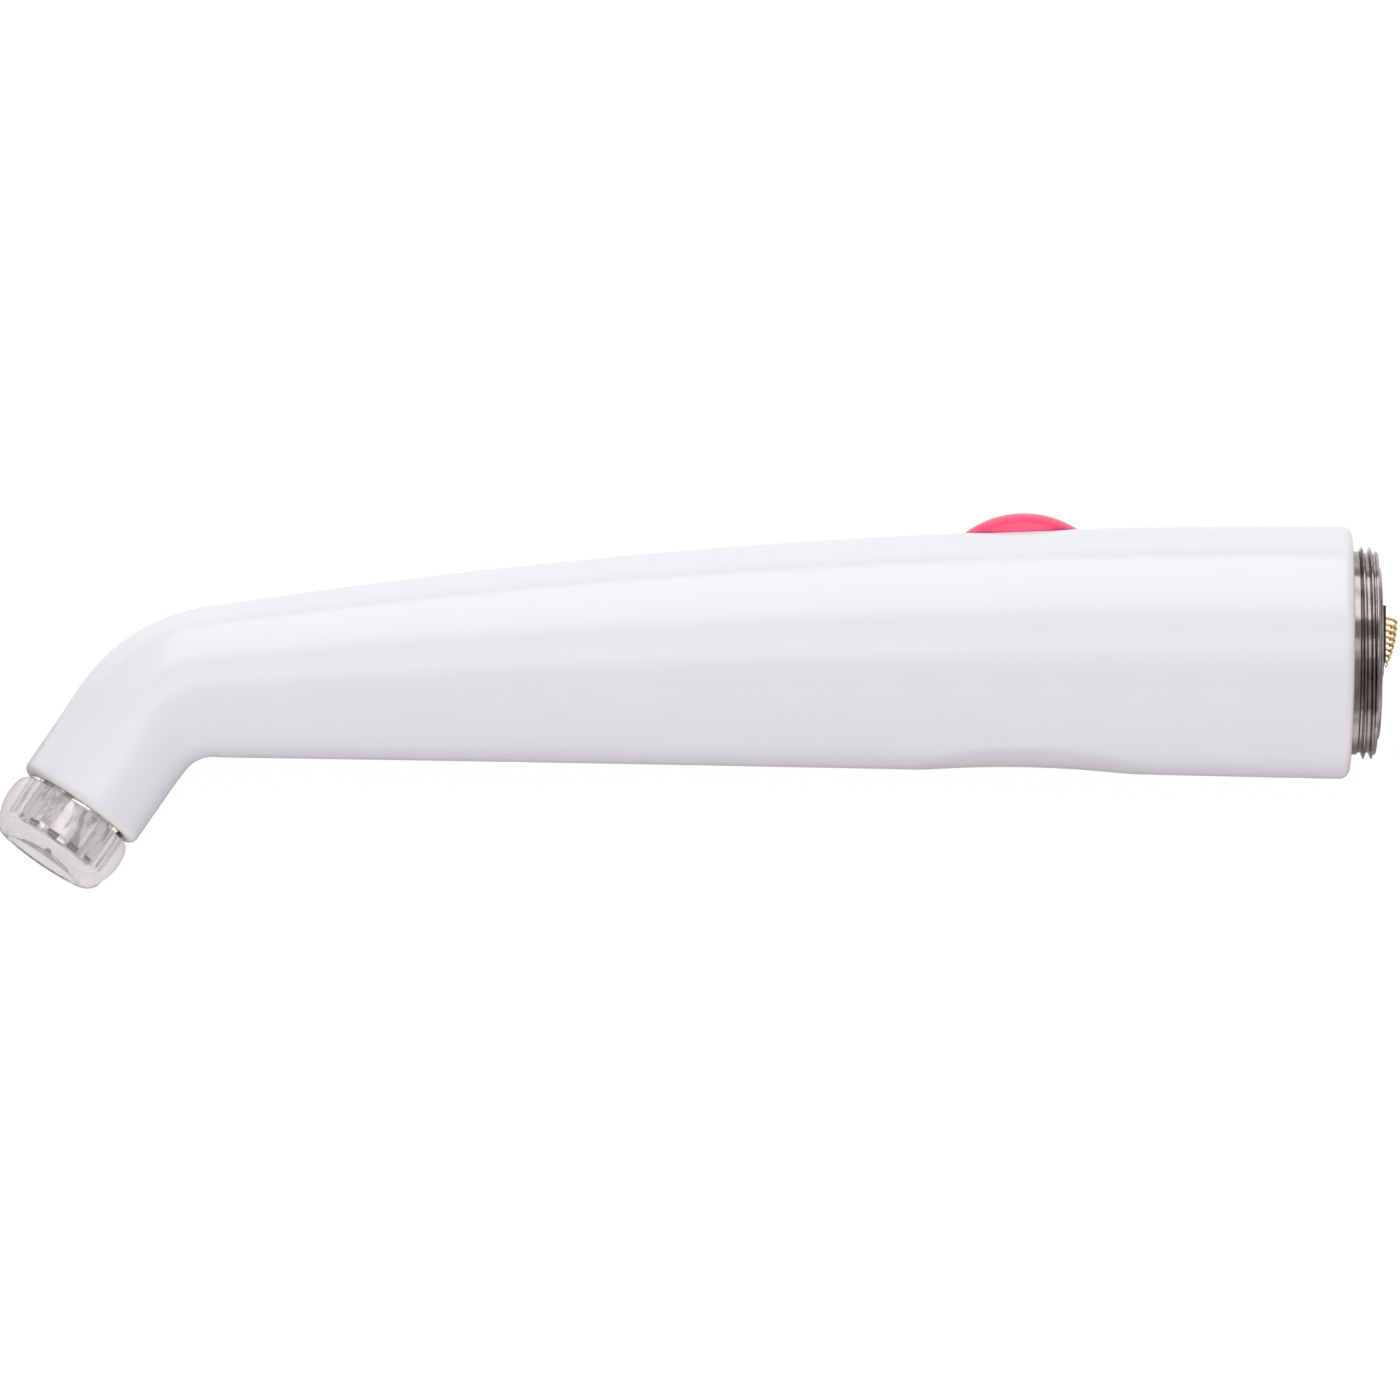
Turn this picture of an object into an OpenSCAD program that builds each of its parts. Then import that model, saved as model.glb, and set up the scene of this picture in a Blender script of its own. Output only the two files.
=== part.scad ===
// Front section of a cordless dental curing light: a bent, tapered housing with the light head at
// one end and the threaded coupling for the battery handle at the other.
//
// Modules are drawn with x = 0 at the housing's rear face, the coupling's axis along x and the
// head towards -x. The head bends towards -y and the button faces +y. part_frame() then moves the
// origin to the middle of the coupling thread.

/* [Housing] */
// Radius of the housing at its rear face
rear_r = 12.65; // [12.2:0.05:14]
// Radius of the neck where the bend starts
neck_r = 7.6; // [7.2:0.05:8.4]
// Radius of the head behind the lens cap
head_r = 6.65; // [6.4:0.05:7.2]
// Share of the taper that is even along the grip; the rest grows towards the neck
taper_share = 0.14; // [0:0.01:0.4]
// Length of the grip along its centreline, from the rear face to the bend
grip_len = 113.8; // [105:0.1:130]
// Length of the grip's straight rear end
straight_len = 10; // [8:0.5:14]
// Angle that the grip droops through between its straight end and the bend
sweep_angle = 4.6; // [3.5:0.1:5.5]
// Radius of the bend along its centreline
bend_r = 11; // [10:0.1:14]
// Angle of the bend
bend_angle = 52; // [40:1:60]
// Length of the straight head, from the bend to its rim
head_len = 9.6; // [9:0.1:14]
// Length over which the neck runs down to the head's radius
blend_len = 14; // [10:0.5:18]
// Wall thickness in the neck and the head
wall = 1.7; // [1.5:0.05:1.9]
// Radius of the core space that holds the circuit board
core_r = 9.4; // [9.2:0.05:9.6]
// Rounding of the rear corner
rear_round = 1; // [0.5:0.05:1.2]
// Rounding of the head's rim
rim_round = 0.8; // [0.4:0.05:0.9]

/* [Finger rest] */
// Distance of the rest's middle from the rear face
rest_x = 32.5; // [28:0.5:40]
// Length of the rest
rest_len = 23; // [16:0.5:28]
// Angle that the rest spans around the housing
rest_span = 56; // [30:1:70]
// Depth of the rest at its middle
rest_depth = 0.6; // [0.2:0.05:0.8]

/* [Button] */
// Distance of the button's middle from the rear face
button_x = 33; // [30:0.5:36]
// Length of the button
button_len = 11.6; // [10:0.1:13]
// Width of the button
button_w = 7; // [6:0.1:8]
// Height of the crown over the housing
crown_h = 1.95; // [1.2:0.05:2.4]
// Radius of the crown's arc along the button
crown_arc_r = 9.6; // [9:0.1:14]
// Radius of the crown's arc across the button
crown_side_r = 4.2; // [4:0.1:6]
// How far the button is pressed
button_travel = 0.5; // [0.2:0.05:0.6]
// Gap between the button and its opening
button_gap = 0.15; // [0.1:0.01:0.25]
// Width of the lip that keeps the button in
lip_w = 1.2; // [0.8:0.1:1.4]
// Thickness of the lip
lip_t = 0.8; // [0.5:0.05:1]
// Height of the lip's top over the circuit board
lip_h = 6.5; // [6.2:0.05:6.7]
// Radius of the stem that presses the switch
stem_r = 1.6; // [1:0.1:2]

/* [Coupling ring] */
// Radius of the thread's crests
thread_r = 10.6; // [10.5:0.05:10.8]
// Radius of the thread's roots
thread_root_r = 10; // [9.8:0.05:10.1]
// Pitch of the thread
thread_pitch = 0.8; // [0.7:0.05:0.9]
// Number of crests
thread_crests = 2; // [2:1:3]
// Width of each crest's land
thread_land = 0.12; // [0.08:0.01:0.2]
// Length of the plain neck between the housing and the thread
ring_neck_len = 0.7; // [0.5:0.05:1.5]
// Radius of the ring where it sits in the housing
spigot_r = 10.2; // [10.1:0.05:10.3]
// Depth of the ring in the housing
spigot_len = 9; // [7:0.5:9]
// Length of the plain collar beyond the thread
collar_len = 0.3; // [0.2:0.05:1.2]
// Radius of the pilot beyond the collar
pilot_r = 8.75; // [8.4:0.05:9]
// Length of the pilot
pilot_len = 0.5; // [0.4:0.05:1.2]
// Bevel of the pilot's edge
pilot_bevel = 0.35; // [0.1:0.05:0.4]
// Radius of the ring's bore
ring_bore_r = 7.5; // [7.3:0.05:7.8]
// Gap between pieces that are bonded or pushed together
seat_gap = 0.05; // [0.02:0.01:0.08]
// Thickness of the sealing rings
seal_t = 0.8; // [0.6:0.05:0.9]

/* [Contacts] */
// Height of the contact pad over the pilot's face
pad_h = 0.2; // [0.1:0.05:0.8]
// Height of the contact pad across the coupling
pad_size = 7.6; // [7.2:0.1:8.2]
// Distance of the pad's middle above the coupling's axis
pad_rise = 0.97; // [0.5:0.01:1.2]
// Width of the pad and of the contact block
pad_w = 8; // [7:0.1:9]
// Height of the contact block across the coupling
block_size = 5.7; // [5.5:0.05:6]
// Height of the contact block over the pad
block_h = 0.1; // [0.05:0.05:0.5]
// Number of fingers on each contact
finger_count = 7; // [5:1:7]
// Spacing of the fingers
finger_pitch = 0.75; // [0.7:0.01:0.77]
// Distance of the top finger from the contact block's top
comb_rise = 0.8; // [0.6:0.05:0.9]
// Reach of the longest finger over the contact block
finger_reach = 1.25; // [0.8:0.05:1.4]
// Reach of the shortest finger over the contact block
finger_reach_min = 0.55; // [0.45:0.05:0.8]
// Thickness of each finger
finger_t = 0.2; // [0.14:0.01:0.24]
// Width of each contact
contact_w = 0.9; // [0.6:0.05:1.4]
// Distance of each contact from the middle plane
contact_z = 1.6; // [1.2:0.1:2.4]
// Length of each contact's tail behind the contact block
tail_len = 3; // [2:0.1:4]

/* [Circuit board] */
// Distance of the board's rear edge from the rear face
board_start = 10.5; // [10.2:0.1:12]
// Length of the board
board_len = 48; // [44:1:50]
// Width of the board
board_w = 16.4; // [15.6:0.1:16.8]
// Thickness of the board
board_t = 1.6; // [1:0.1:1.8]
// Height of the board's top face above the coupling's axis
board_top = 2; // [1.8:0.05:2.2]
// Gap between the board's carrier and the housing
carrier_gap = 0.3; // [0.25:0.05:0.5]
// Wall thickness of the carrier
carrier_wall = 1.2; // [0.8:0.1:1.4]
// Side of the square switch
switch_size = 6; // [5:0.1:6.4]
// Height of the switch's case
switch_h = 3.5; // [3:0.1:3.8]
// Radius of the switch's plunger
plunger_r = 1.75; // [1.2:0.05:2]
// Height of the plunger over the switch's case
plunger_h = 1.4; // [1:0.05:1.6]

/* [Light head] */
// Radius of the barrel inside the lens cap
barrel_r = 4.4; // [4.2:0.05:4.6]
// Radius of the barrel's bore
barrel_bore_r = 3.6; // [3.4:0.05:3.7]
// Length of the barrel beyond its flange
barrel_len = 3.3; // [3:0.05:3.6]
// Radius of the barrel's flange
flange_r = 5.7; // [5.6:0.05:5.8]
// Thickness of the barrel's flange
flange_t = 0.4; // [0.3:0.05:0.6]
// Depth of the barrel in the housing
barrel_depth = 5.4; // [4.5:0.1:6]
// Radius of the barrel where it sits in the housing
barrel_seat_r = 5.15; // [5.05:0.05:5.2]
// Thickness of the ring that keeps the lens in
retainer_h = 0.7; // [0.5:0.05:0.9]
// Inner radius of the ring that keeps the lens in
retainer_bore_r = 3.2; // [3:0.05:3.3]
// Number of notches in that ring
retainer_notches = 12; // [8:1:16]
// Radius of the lamp's board
lamp_board_r = 4.5; // [4.3:0.05:4.6]
// Thickness of the lamp's board
lamp_board_t = 1; // [0.8:0.1:1.2]
// Side of the square lamp
lamp_size = 3.5; // [3:0.1:3.8]
// Height of the lamp's package
lamp_h = 0.7; // [0.5:0.05:0.8]
// Radius of the dome on the lamp
lamp_dome_r = 1.3; // [1:0.05:1.4]

/* [Lens cap] */
// Largest radius of the cap
cap_r = 6.65; // [6.5:0.05:6.9]
// Distance from the cap's rear edge to its largest radius
cap_waist = 2.1; // [1.8:0.1:2.4]
// Length of the cap
cap_len = 5.95; // [5.7:0.05:6.4]
// Radius of the cap's front ring
cap_front_r = 4.5; // [4.3:0.05:4.7]
// Radius of the cap's rear face
cap_rear_r = 5.9; // [5.8:0.05:6]
// Gap between the cap and the barrel
cap_fit = 0.08; // [0.05:0.01:0.1]
// Radius of the dished window
window_r = 3.9; // [3.6:0.05:4]
// Depth of the dished window
window_depth = 0.9; // [0.6:0.05:1]
// Thickness of the window
window_t = 0.9; // [0.7:0.05:1]

/* [Heat path and wires] */
// Length of the heat slug in the head
slug_len = 3; // [2:0.1:3.4]
// Radius of the heat pipe
pipe_r = 2; // [1.6:0.05:2.1]
// Distance of the heat spreader from the bend
spreader_gap = 2; // [1:0.5:4]
// Length of the heat spreader in the neck
spreader_len = 14; // [10:0.5:18]
// Gap between the heat pieces and the housing
heat_gap = 0.25; // [0.2:0.05:0.35]
// Radius of each wire
wire_r = 0.45; // [0.3:0.05:0.5]
// Distance of each wire from the middle plane
wire_z = 3.1; // [3:0.05:3.3]
// Gap around a wire in its hole
wire_gap = 0.15; // [0.1:0.01:0.2]

/* [Hidden] */

$fn = 64;
eps = 0.01; // how far a cut runs past a face

// ---- The housing's centreline ----

head_turn = sweep_angle + bend_angle;
bend_len = bend_r * bend_angle * PI / 180;
sweep_r = (grip_len - straight_len) / (sweep_angle * PI / 180);
full_len = grip_len + bend_len + head_len;

// Directions at a turn of t degrees: along the centreline, and square to it on the bend's outside
function forward(t) = [-cos(t), -sin(t), 0];
function outward(t) = [-sin(t), cos(t), 0];

sweep_centre = [-straight_len, -sweep_r, 0];
bend_start = sweep_centre + sweep_r * outward(sweep_angle);
bend_centre = bend_start - bend_r * outward(sweep_angle);
bend_end = bend_centre + bend_r * outward(head_turn);
rim_centre = bend_end + head_len * forward(head_turn);

// Turn and place of the centreline at distance s from the rear face
function turn_at(s) =
    s <= straight_len ? 0
    : s <= grip_len ? sweep_angle * (s - straight_len) / (grip_len - straight_len)
    : s <= grip_len + bend_len ? sweep_angle + bend_angle * (s - grip_len) / bend_len
    : head_turn;
function spine(s) =
    s <= straight_len ? [-s, 0, 0]
    : s <= grip_len ? sweep_centre + sweep_r * outward(turn_at(s))
    : s <= grip_len + bend_len ? bend_centre + bend_r * outward(turn_at(s))
    : bend_end + (s - grip_len - bend_len) * forward(head_turn);

// ---- The housing's skin ----

function taper(u) = taper_share * u + (1 - taper_share) * u * u;
neck_slope = -(rear_r - neck_r) * (2 - taper_share) / grip_len;
function blend(v) =
    neck_r * (2 * v * v * v - 3 * v * v + 1)
    + neck_slope * blend_len * (v * v * v - 2 * v * v + v)
    + head_r * (3 * v * v - 2 * v * v * v);
function body_r(s) =
    s <= grip_len ? rear_r - (rear_r - neck_r) * taper(s / grip_len)
    : s <= grip_len + blend_len ? blend((s - grip_len) / blend_len)
    : head_r;

// How far a rounded corner of radius r stands back from the skin, d beyond the corner's face
function corner_inset(d, r) = d >= r ? 0 : r - sqrt(r * r - (r - d) * (r - d));
function skin_r(s) =
    body_r(s) - corner_inset(s, rear_round) - corner_inset(full_len - s, rim_round);

// Depth of the finger rest at distance s and angle a around the skin, 0 being the button's side
function rest_at(s, a) =
    rest_depth * max(0, 1 - pow((s - rest_x) / (rest_len / 2), 2) - pow((a - 180) / (rest_span / 2), 2));

// Radius of the space inside the housing
function core_at(s) = min(core_r, body_r(s) - wall);

skin_sides = 40;
grip_step = 4.4;
grip_rings = ceil(grip_len / grip_step);
bend_rings = 10;
corner_steps = [22.5, 45, 67.5];
outer_stations = [
    0,
    for (a = corner_steps) rear_round * (1 - cos(a)),
    rear_round,
    for (i = [1 : grip_rings]) rear_round + (grip_len - rear_round) * i / grip_rings,
    for (i = [1 : bend_rings]) grip_len + bend_len * i / bend_rings,
    full_len - rim_round,
    for (i = [2 : -1 : 0]) full_len - rim_round * (1 - cos(corner_steps[i])),
    full_len
];
inner_stations = [
    full_len,
    for (i = [bend_rings : -1 : 0]) grip_len + bend_len * i / bend_rings,
    for (i = [grip_rings - 1 : -1 : 0]) grip_len * i / grip_rings
];

// A ring of points square to the centreline
function ring(s, radii) = [
    for (i = [0 : skin_sides - 1])
        let (a = 360 * i / skin_sides)
        spine(s) + radii[i] * (cos(a) * outward(turn_at(s)) + [0, 0, sin(a)])
];
function skin_ring(s) = ring(s, [
    for (i = [0 : skin_sides - 1]) skin_r(s) - rest_at(s, 360 * i / skin_sides)
]);
function core_ring(s) = ring(s, [for (i = [0 : skin_sides - 1]) core_at(s)]);

// Triangles between ring m and ring n of the list, sides points in each
function band(m, n, sides) = [
    for (i = [0 : sides - 1])
        let (j = (i + 1) % sides)
        each [
            [m * sides + i, n * sides + i, n * sides + j],
            [m * sides + i, n * sides + j, m * sides + j]
        ]
];

module shell() {
    rings = [
        for (s = outer_stations) skin_ring(s),
        for (s = inner_stations) core_ring(s)
    ];
    count = len(rings);
    polyhedron(
        points = [for (r = rings) each r],
        faces = [for (k = [0 : count - 1]) each band(k, (k + 1) % count, skin_sides)]
    );
}

// ---- Placing helpers ----

// Moves a piece drawn along z so that z runs out of the head, from the rim's centre
module at_rim() {
    translate(rim_centre) rotate([0, 0, head_turn]) rotate([0, -90, 0]) children();
}

// Turns a piece drawn along z so that z runs towards the handle
module along_x() {
    rotate([0, 90, 0]) children();
}

// Turns a piece drawn along z so that z runs from the bend back along the neck
module at_bend_start() {
    translate(bend_start) rotate([0, 0, sweep_angle]) rotate([0, 90, 0]) children();
}

// Turns a piece drawn along z so that z runs towards the button's side
module facing_button() {
    rotate([-90, 0, 0]) children();
}

// A revolved solid about z from points of [distance along the axis, radius]
module turned(points) {
    rotate_extrude() polygon([for (p = points) [p[1], p[0]]]);
}

// A slot outline: length along x and width along y, with round ends
module slot_outline(length, width) {
    square([length - width, width], center = true);
    for (side = [-1, 1]) translate([side * (length - width) / 2, 0]) circle(d = width);
}

// Unit vector of v
function unit(v) = v / norm(v);
// Direction of a route at its point i
function heading(route, i) =
    unit(route[min(i + 1, len(route) - 1)] - route[max(i - 1, 0)]);
// Points of a ring around a route at its point i
function route_ring(route, i, sides, r) =
    let (
        ahead = heading(route, i),
        side = unit(cross(ahead, [0, 0, 1])),
        up = cross(side, ahead)
    )
    [
        for (k = [0 : sides - 1])
            let (a = 360 * (k + 0.5) / sides)
            route[i] + r * (cos(a) * side + sin(a) * up)
    ];

// A tube of radius r along a route
module tube(sides, r, route) {
    last = len(route) - 1;
    polyhedron(
        points = [for (i = [0 : last]) each route_ring(route, i, sides, r)],
        faces = concat(
            [[for (k = [0 : sides - 1]) k]],
            [for (i = [0 : last - 1]) each band(i, i + 1, sides)],
            [[for (k = [sides - 1 : -1 : 0]) last * sides + k]]
        )
    );
}

// Points along the bend's centreline, from the head back to the neck
bend_steps = 8;
bend_points = [
    for (i = [bend_steps : -1 : 0])
        bend_centre + bend_r * outward(sweep_angle + bend_angle * i / bend_steps)
];

// ---- The coupling ring ----

thread_start = ring_neck_len;
first_crest = thread_start + thread_pitch / 2;
last_crest = first_crest + thread_pitch * (thread_crests - 1);
thread_middle = (first_crest + last_crest) / 2;
collar_start = last_crest + thread_pitch / 2;
collar_end = collar_start + collar_len;
pilot_end = collar_end + pilot_len;
collar_bevel = 0.15;
seal_r = spigot_r + seat_gap - seal_t / 2;
seal_groove_t = seal_t + 0.2;
seal_groove_r = spigot_r - seal_t;
ring_seal_x = 4;

module coupling_ring() {
    color("dimgray") along_x() difference() {
        turned([
            [-spigot_len, ring_bore_r],
            [-spigot_len, spigot_r],
            [thread_start, spigot_r],
            for (i = [0 : thread_crests - 1])
                let (x = first_crest + i * thread_pitch)
                each [
                    [x - thread_pitch / 2 + thread_land, thread_root_r],
                    [x - thread_land / 2, thread_r],
                    [x + thread_land / 2, thread_r],
                    [x + thread_pitch / 2 - thread_land, thread_root_r]
                ],
            [collar_start, spigot_r],
            [collar_end - collar_bevel, spigot_r],
            [collar_end, spigot_r - collar_bevel],
            [collar_end, pilot_r],
            [pilot_end - pilot_bevel, pilot_r],
            [pilot_end, pilot_r - pilot_bevel],
            [pilot_end, ring_bore_r]
        ]);
        translate([0, 0, -ring_seal_x - seal_groove_t / 2]) difference() {
            cylinder(h = seal_groove_t, r = spigot_r + 1);
            translate([0, 0, -eps]) cylinder(h = seal_groove_t + 2 * eps, r = seal_groove_r);
        }
    }
}

module ring_seal() {
    color("black") translate([-ring_seal_x, 0, 0]) along_x()
        rotate_extrude() translate([seal_r, 0]) circle(d = seal_t);
}

// ---- The contacts in the coupling ring ----

carrier_r = ring_bore_r - seat_gap;
pad_end = pilot_end + pad_h;
block_end = pad_end + block_h;
pad_low = pad_rise - pad_size / 2;
block_low = pad_rise + pad_size / 2 - block_size;
block_middle = block_low + block_size / 2;
block_start = -5;
carrier_start = -spigot_len;
contact_slot_gap = 0.05;
comb_size = (finger_count - 1) * finger_pitch + finger_t;
comb_top = block_low + block_size - comb_rise;
screw_shank_r = 0.6;
screw_head_r = 1.2;
screw_head_h = 0.9;
screw_hold = 4;
carrier_screw_y = -4.6;
carrier_screw_z = 3.6;

module at_carrier_screws() {
    for (side = [-1, 1]) translate([0, carrier_screw_y, side * carrier_screw_z]) children();
}

module contact_carrier() {
    color("gray") difference() {
        union() {
            translate([carrier_start, 0, 0]) along_x()
                cylinder(h = pilot_end - carrier_start, r = carrier_r);
            translate([0, pad_low, -pad_w / 2]) cube([pad_end, pad_size, pad_w]);
        }
        translate([block_start, block_low, -pad_w / 2 + seat_gap])
            cube([pad_end - block_start + eps, block_size + eps, pad_w - 2 * seat_gap]);
        for (side = [-1, 1])
            translate([carrier_start - eps, block_middle, side * contact_z]) along_x()
                cylinder(h = block_start - carrier_start + 2 * eps, r = contact_w / 2 + 0.5);
        at_carrier_screws() translate([carrier_start - eps, 0, 0]) along_x()
            cylinder(h = screw_hold + 0.2, r = screw_shank_r);
    }
}

module contact_block() {
    color("black") difference() {
        translate([block_start + seat_gap, block_low + seat_gap, -pad_w / 2 + 2 * seat_gap])
            cube([block_end - block_start - seat_gap, block_size - seat_gap, pad_w - 4 * seat_gap]);
        for (side = [-1, 1])
            translate([
                block_start,
                comb_top - comb_size - contact_slot_gap,
                side * contact_z - contact_w / 2 - contact_slot_gap
            ])
                cube([
                    block_end - block_start + eps,
                    comb_size + 2 * contact_slot_gap,
                    contact_w + 2 * contact_slot_gap
                ]);
    }
}

// One finger's middle line: a hook that leaves the block, turns down and stops short of the next
finger_drop = 0.4;
finger_sweep = 115;
finger_steps = 8;
function finger_reach_at(i) =
    finger_reach + (finger_reach_min - finger_reach) * i / (finger_count - 1);
function finger_edge(reach, offset) = [
    for (k = [0 : finger_steps])
        let (a = finger_sweep * k / finger_steps)
        [(reach + offset) * sin(a), (finger_drop + offset) * cos(a) - finger_drop]
];

module finger(reach) {
    outer = finger_edge(reach - finger_t / 2, finger_t / 2);
    inner = finger_edge(reach - finger_t / 2, -finger_t / 2);
    linear_extrude(contact_w, center = true)
        polygon(concat(
            [[-2 * finger_t, finger_t / 2]],
            outer,
            [for (k = [finger_steps : -1 : 0]) inner[k]],
            [[-2 * finger_t, -finger_t / 2]]
        ));
}

module contact(side) {
    tail_size = 1;
    root_end = block_end - 2 * finger_t + eps;
    color("gold") translate([0, 0, side * contact_z]) {
        translate([block_start + seat_gap, comb_top - comb_size, -contact_w / 2])
            cube([root_end - block_start - seat_gap, comb_size, contact_w]);
        translate([block_start - tail_len, block_middle - tail_size / 2, -contact_w / 2])
            cube([tail_len + 2 * seat_gap, tail_size, contact_w]);
        for (i = [0 : finger_count - 1])
            translate([block_end, comb_top - finger_t / 2 - i * finger_pitch, 0])
                finger(finger_reach_at(i));
    }
}

// ---- The housing ----

ring_bore = spigot_r + seat_gap;
mouth_bevel = thread_r + 0.2 - ring_bore;
head_bore = barrel_seat_r + seat_gap;
board_bottom = board_top - board_t;
lip_top = board_top + lip_h;
seat_y = lip_top + 0.1;
opening_len = button_len + 2 * button_gap;
opening_w = button_w + 2 * button_gap;

module housing() {
    color("white") difference() {
        shell();
        translate([-spigot_len, 0, 0]) along_x() cylinder(h = spigot_len + 1, r = ring_bore);
        translate([-mouth_bevel, 0, 0]) along_x()
            cylinder(h = mouth_bevel + eps, r1 = ring_bore, r2 = ring_bore + mouth_bevel + eps);
        at_rim() translate([0, 0, -barrel_depth]) cylinder(h = barrel_depth + 1, r = head_bore);
        translate([-button_x, 0, 0]) {
            facing_button()
                linear_extrude(rear_r + 1) slot_outline(opening_len, opening_w);
            facing_button() linear_extrude(seat_y)
                slot_outline(opening_len + 2 * lip_w, opening_w + 2 * lip_w);
        }
    }
}

// ---- The button ----

crown_slope = turn_at(button_x)
    + atan((body_r(button_x - 1) - body_r(button_x + 1)) / 2);
crown_y = spine(button_x)[1] + body_r(button_x) + crown_h;
lip_gap = button_gap;
plunger_top = board_top + switch_h + plunger_h;

module crown() {
    half = crown_arc_r;
    translate([0, crown_y - crown_side_r, 0]) rotate([0, 0, crown_slope]) along_x()
        rotate_extrude() intersection() {
            translate([crown_side_r - crown_arc_r, 0]) circle(r = crown_arc_r);
            translate([0, -half]) square([crown_side_r + 1, 2 * half]);
        }
}

module button() {
    body_h = crown_y - lip_top + lip_t;
    color("deeppink") translate([-button_x, 0, 0]) {
        intersection() {
            translate([0, lip_top - lip_t, 0]) facing_button()
                linear_extrude(body_h + 1) slot_outline(button_len, button_w);
            union() {
                crown();
                translate([-button_len, 0, -button_w])
                    cube([2 * button_len, crown_y - crown_side_r, 2 * button_w]);
            }
        }
        translate([0, lip_top - lip_t, 0]) facing_button() linear_extrude(lip_t)
            slot_outline(opening_len + 2 * (lip_w - lip_gap), opening_w + 2 * (lip_w - lip_gap));
        translate([0, plunger_top, 0]) facing_button()
            cylinder(h = lip_top - lip_t - plunger_top + eps, r = stem_r);
    }
}

module tact_switch() {
    well_r = plunger_r + 0.05;
    well_depth = button_travel + 0.6;
    color("darkslategray") translate([-button_x, board_top, 0]) difference() {
        translate([-switch_size / 2, 0, -switch_size / 2])
            cube([switch_size, switch_h, switch_size]);
        translate([0, switch_h - well_depth, 0]) facing_button()
            cylinder(h = well_depth + eps, r = well_r);
    }
}

module switch_plunger() {
    rooted = 0.4;
    color("ivory") translate([-button_x, plunger_top - plunger_h - rooted, 0]) facing_button()
        cylinder(h = plunger_h + rooted, r = plunger_r);
}

// ---- The circuit board and what is on it ----

board_gap = 0.3; // from one part on the board to the next
edge_gap = 3.5; // from the board's end to its end screws
socket_len = 5;
socket_w = 2 * wire_z + 2.2;
socket_h = 2.6;
buzzer_r = 3.4;
socket_x = board_len - edge_gap - 2.5 - socket_len / 2;
front_row_x = socket_x - socket_len / 2 - board_gap - buzzer_r;
power_row_x = 12;
switch_x = button_x - board_start;
middle_screw_x = switch_x - switch_size / 2 - board_gap - screw_head_r - 0.5;
screw_places = [edge_gap, middle_screw_x, board_len - edge_gap];
boss_r = 1.5;
carrier_outer = core_r - carrier_gap;
carrier_end = board_len + board_start + 0.5;
web_t = 1.2;

module on_board(x, z) {
    translate([-board_start - x, board_top, z]) children();
}

module circuit_board() {
    color("darkgreen") difference() {
        translate([-board_start - board_len, board_bottom, -board_w / 2])
            cube([board_len, board_t, board_w]);
        for (x = screw_places)
            on_board(x, 0) translate([0, eps, 0]) rotate([90, 0, 0])
                cylinder(h = board_t + 2 * eps, r = screw_shank_r + 0.1);
    }
}

// A part in a box case that stands on the board
module boxed(x, z, length, width, height) {
    on_board(x, z) translate([-length / 2, 0, -width / 2]) cube([length, height, width]);
}

module driver_chip() {
    color("black") boxed(power_row_x, -3.6, 5, 5, 1);
}

module control_chip() {
    color("black") boxed(front_row_x, -4.6, 6.4, 4.4, 1.2);
}

module inductor() {
    color("dimgray") boxed(power_row_x, 3.6, 5.6, 5.6, 2.8);
}

module capacitor(i) {
    color("tan") boxed(power_row_x - 7 + 3 * i, -7.2, 1.8, 1.2, 1);
}

module resistor(i) {
    color("black") boxed(power_row_x + 2.6 + 2.6 * i, 7, 1.8, 1.1, 0.6);
}

module buzzer() {
    color("black") on_board(front_row_x, 3.9) facing_button() difference() {
        cylinder(h = 2.4, r = buzzer_r);
        translate([0, 0, 1.6]) cylinder(h = 1, r = 0.5);
    }
}

module lamp_socket() {
    color("ivory") difference() {
        boxed(socket_x, 0, socket_len, socket_w, socket_h);
        for (side = [-1, 1])
            on_board(socket_x + socket_len / 2 + eps, side * wire_z)
                translate([0, socket_h / 2, 0]) along_x() cylinder(h = 1.5, r = wire_r + wire_gap);
    }
}

module board_carrier() {
    color("whitesmoke") difference() {
        union() {
            difference() {
                translate([-carrier_end, 0, 0]) along_x()
                    cylinder(h = carrier_end - spigot_len, r = carrier_outer);
                translate([-carrier_end - eps, 0, 0]) along_x()
                    cylinder(h = carrier_end - spigot_len - web_t + eps, r = carrier_outer - carrier_wall);
                translate([-carrier_end - eps, board_bottom, -core_r])
                    cube([carrier_end, core_r, 2 * core_r]);
            }
            for (x = screw_places)
                translate([-board_start - x, board_bottom, 0]) rotate([90, 0, 0])
                    cylinder(h = board_bottom + carrier_outer - carrier_wall / 2, r = boss_r);
        }
        for (x = screw_places)
            translate([-board_start - x, board_bottom + eps, 0]) rotate([90, 0, 0])
                cylinder(h = screw_hold + 0.2, r = screw_shank_r);
        at_carrier_screws() translate([-spigot_len - web_t - eps, 0, 0]) along_x()
            cylinder(h = web_t + 2 * eps, r = screw_shank_r + 0.1);
    }
}

// A screw along -z with its head's underside at z = 0
module screw(hold) {
    cylinder(h = screw_head_h, r = screw_head_r);
    translate([0, 0, -hold]) cylinder(h = hold + eps, r = screw_shank_r);
}

module board_screws() {
    color("silver") for (x = screw_places)
        on_board(x, 0) facing_button() screw(board_t + screw_hold);
}

module carrier_screws() {
    color("silver") at_carrier_screws() translate([-spigot_len - web_t, 0, 0]) along_x()
        mirror([0, 0, 1]) screw(web_t + screw_hold);
}

// ---- The light head ----

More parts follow.
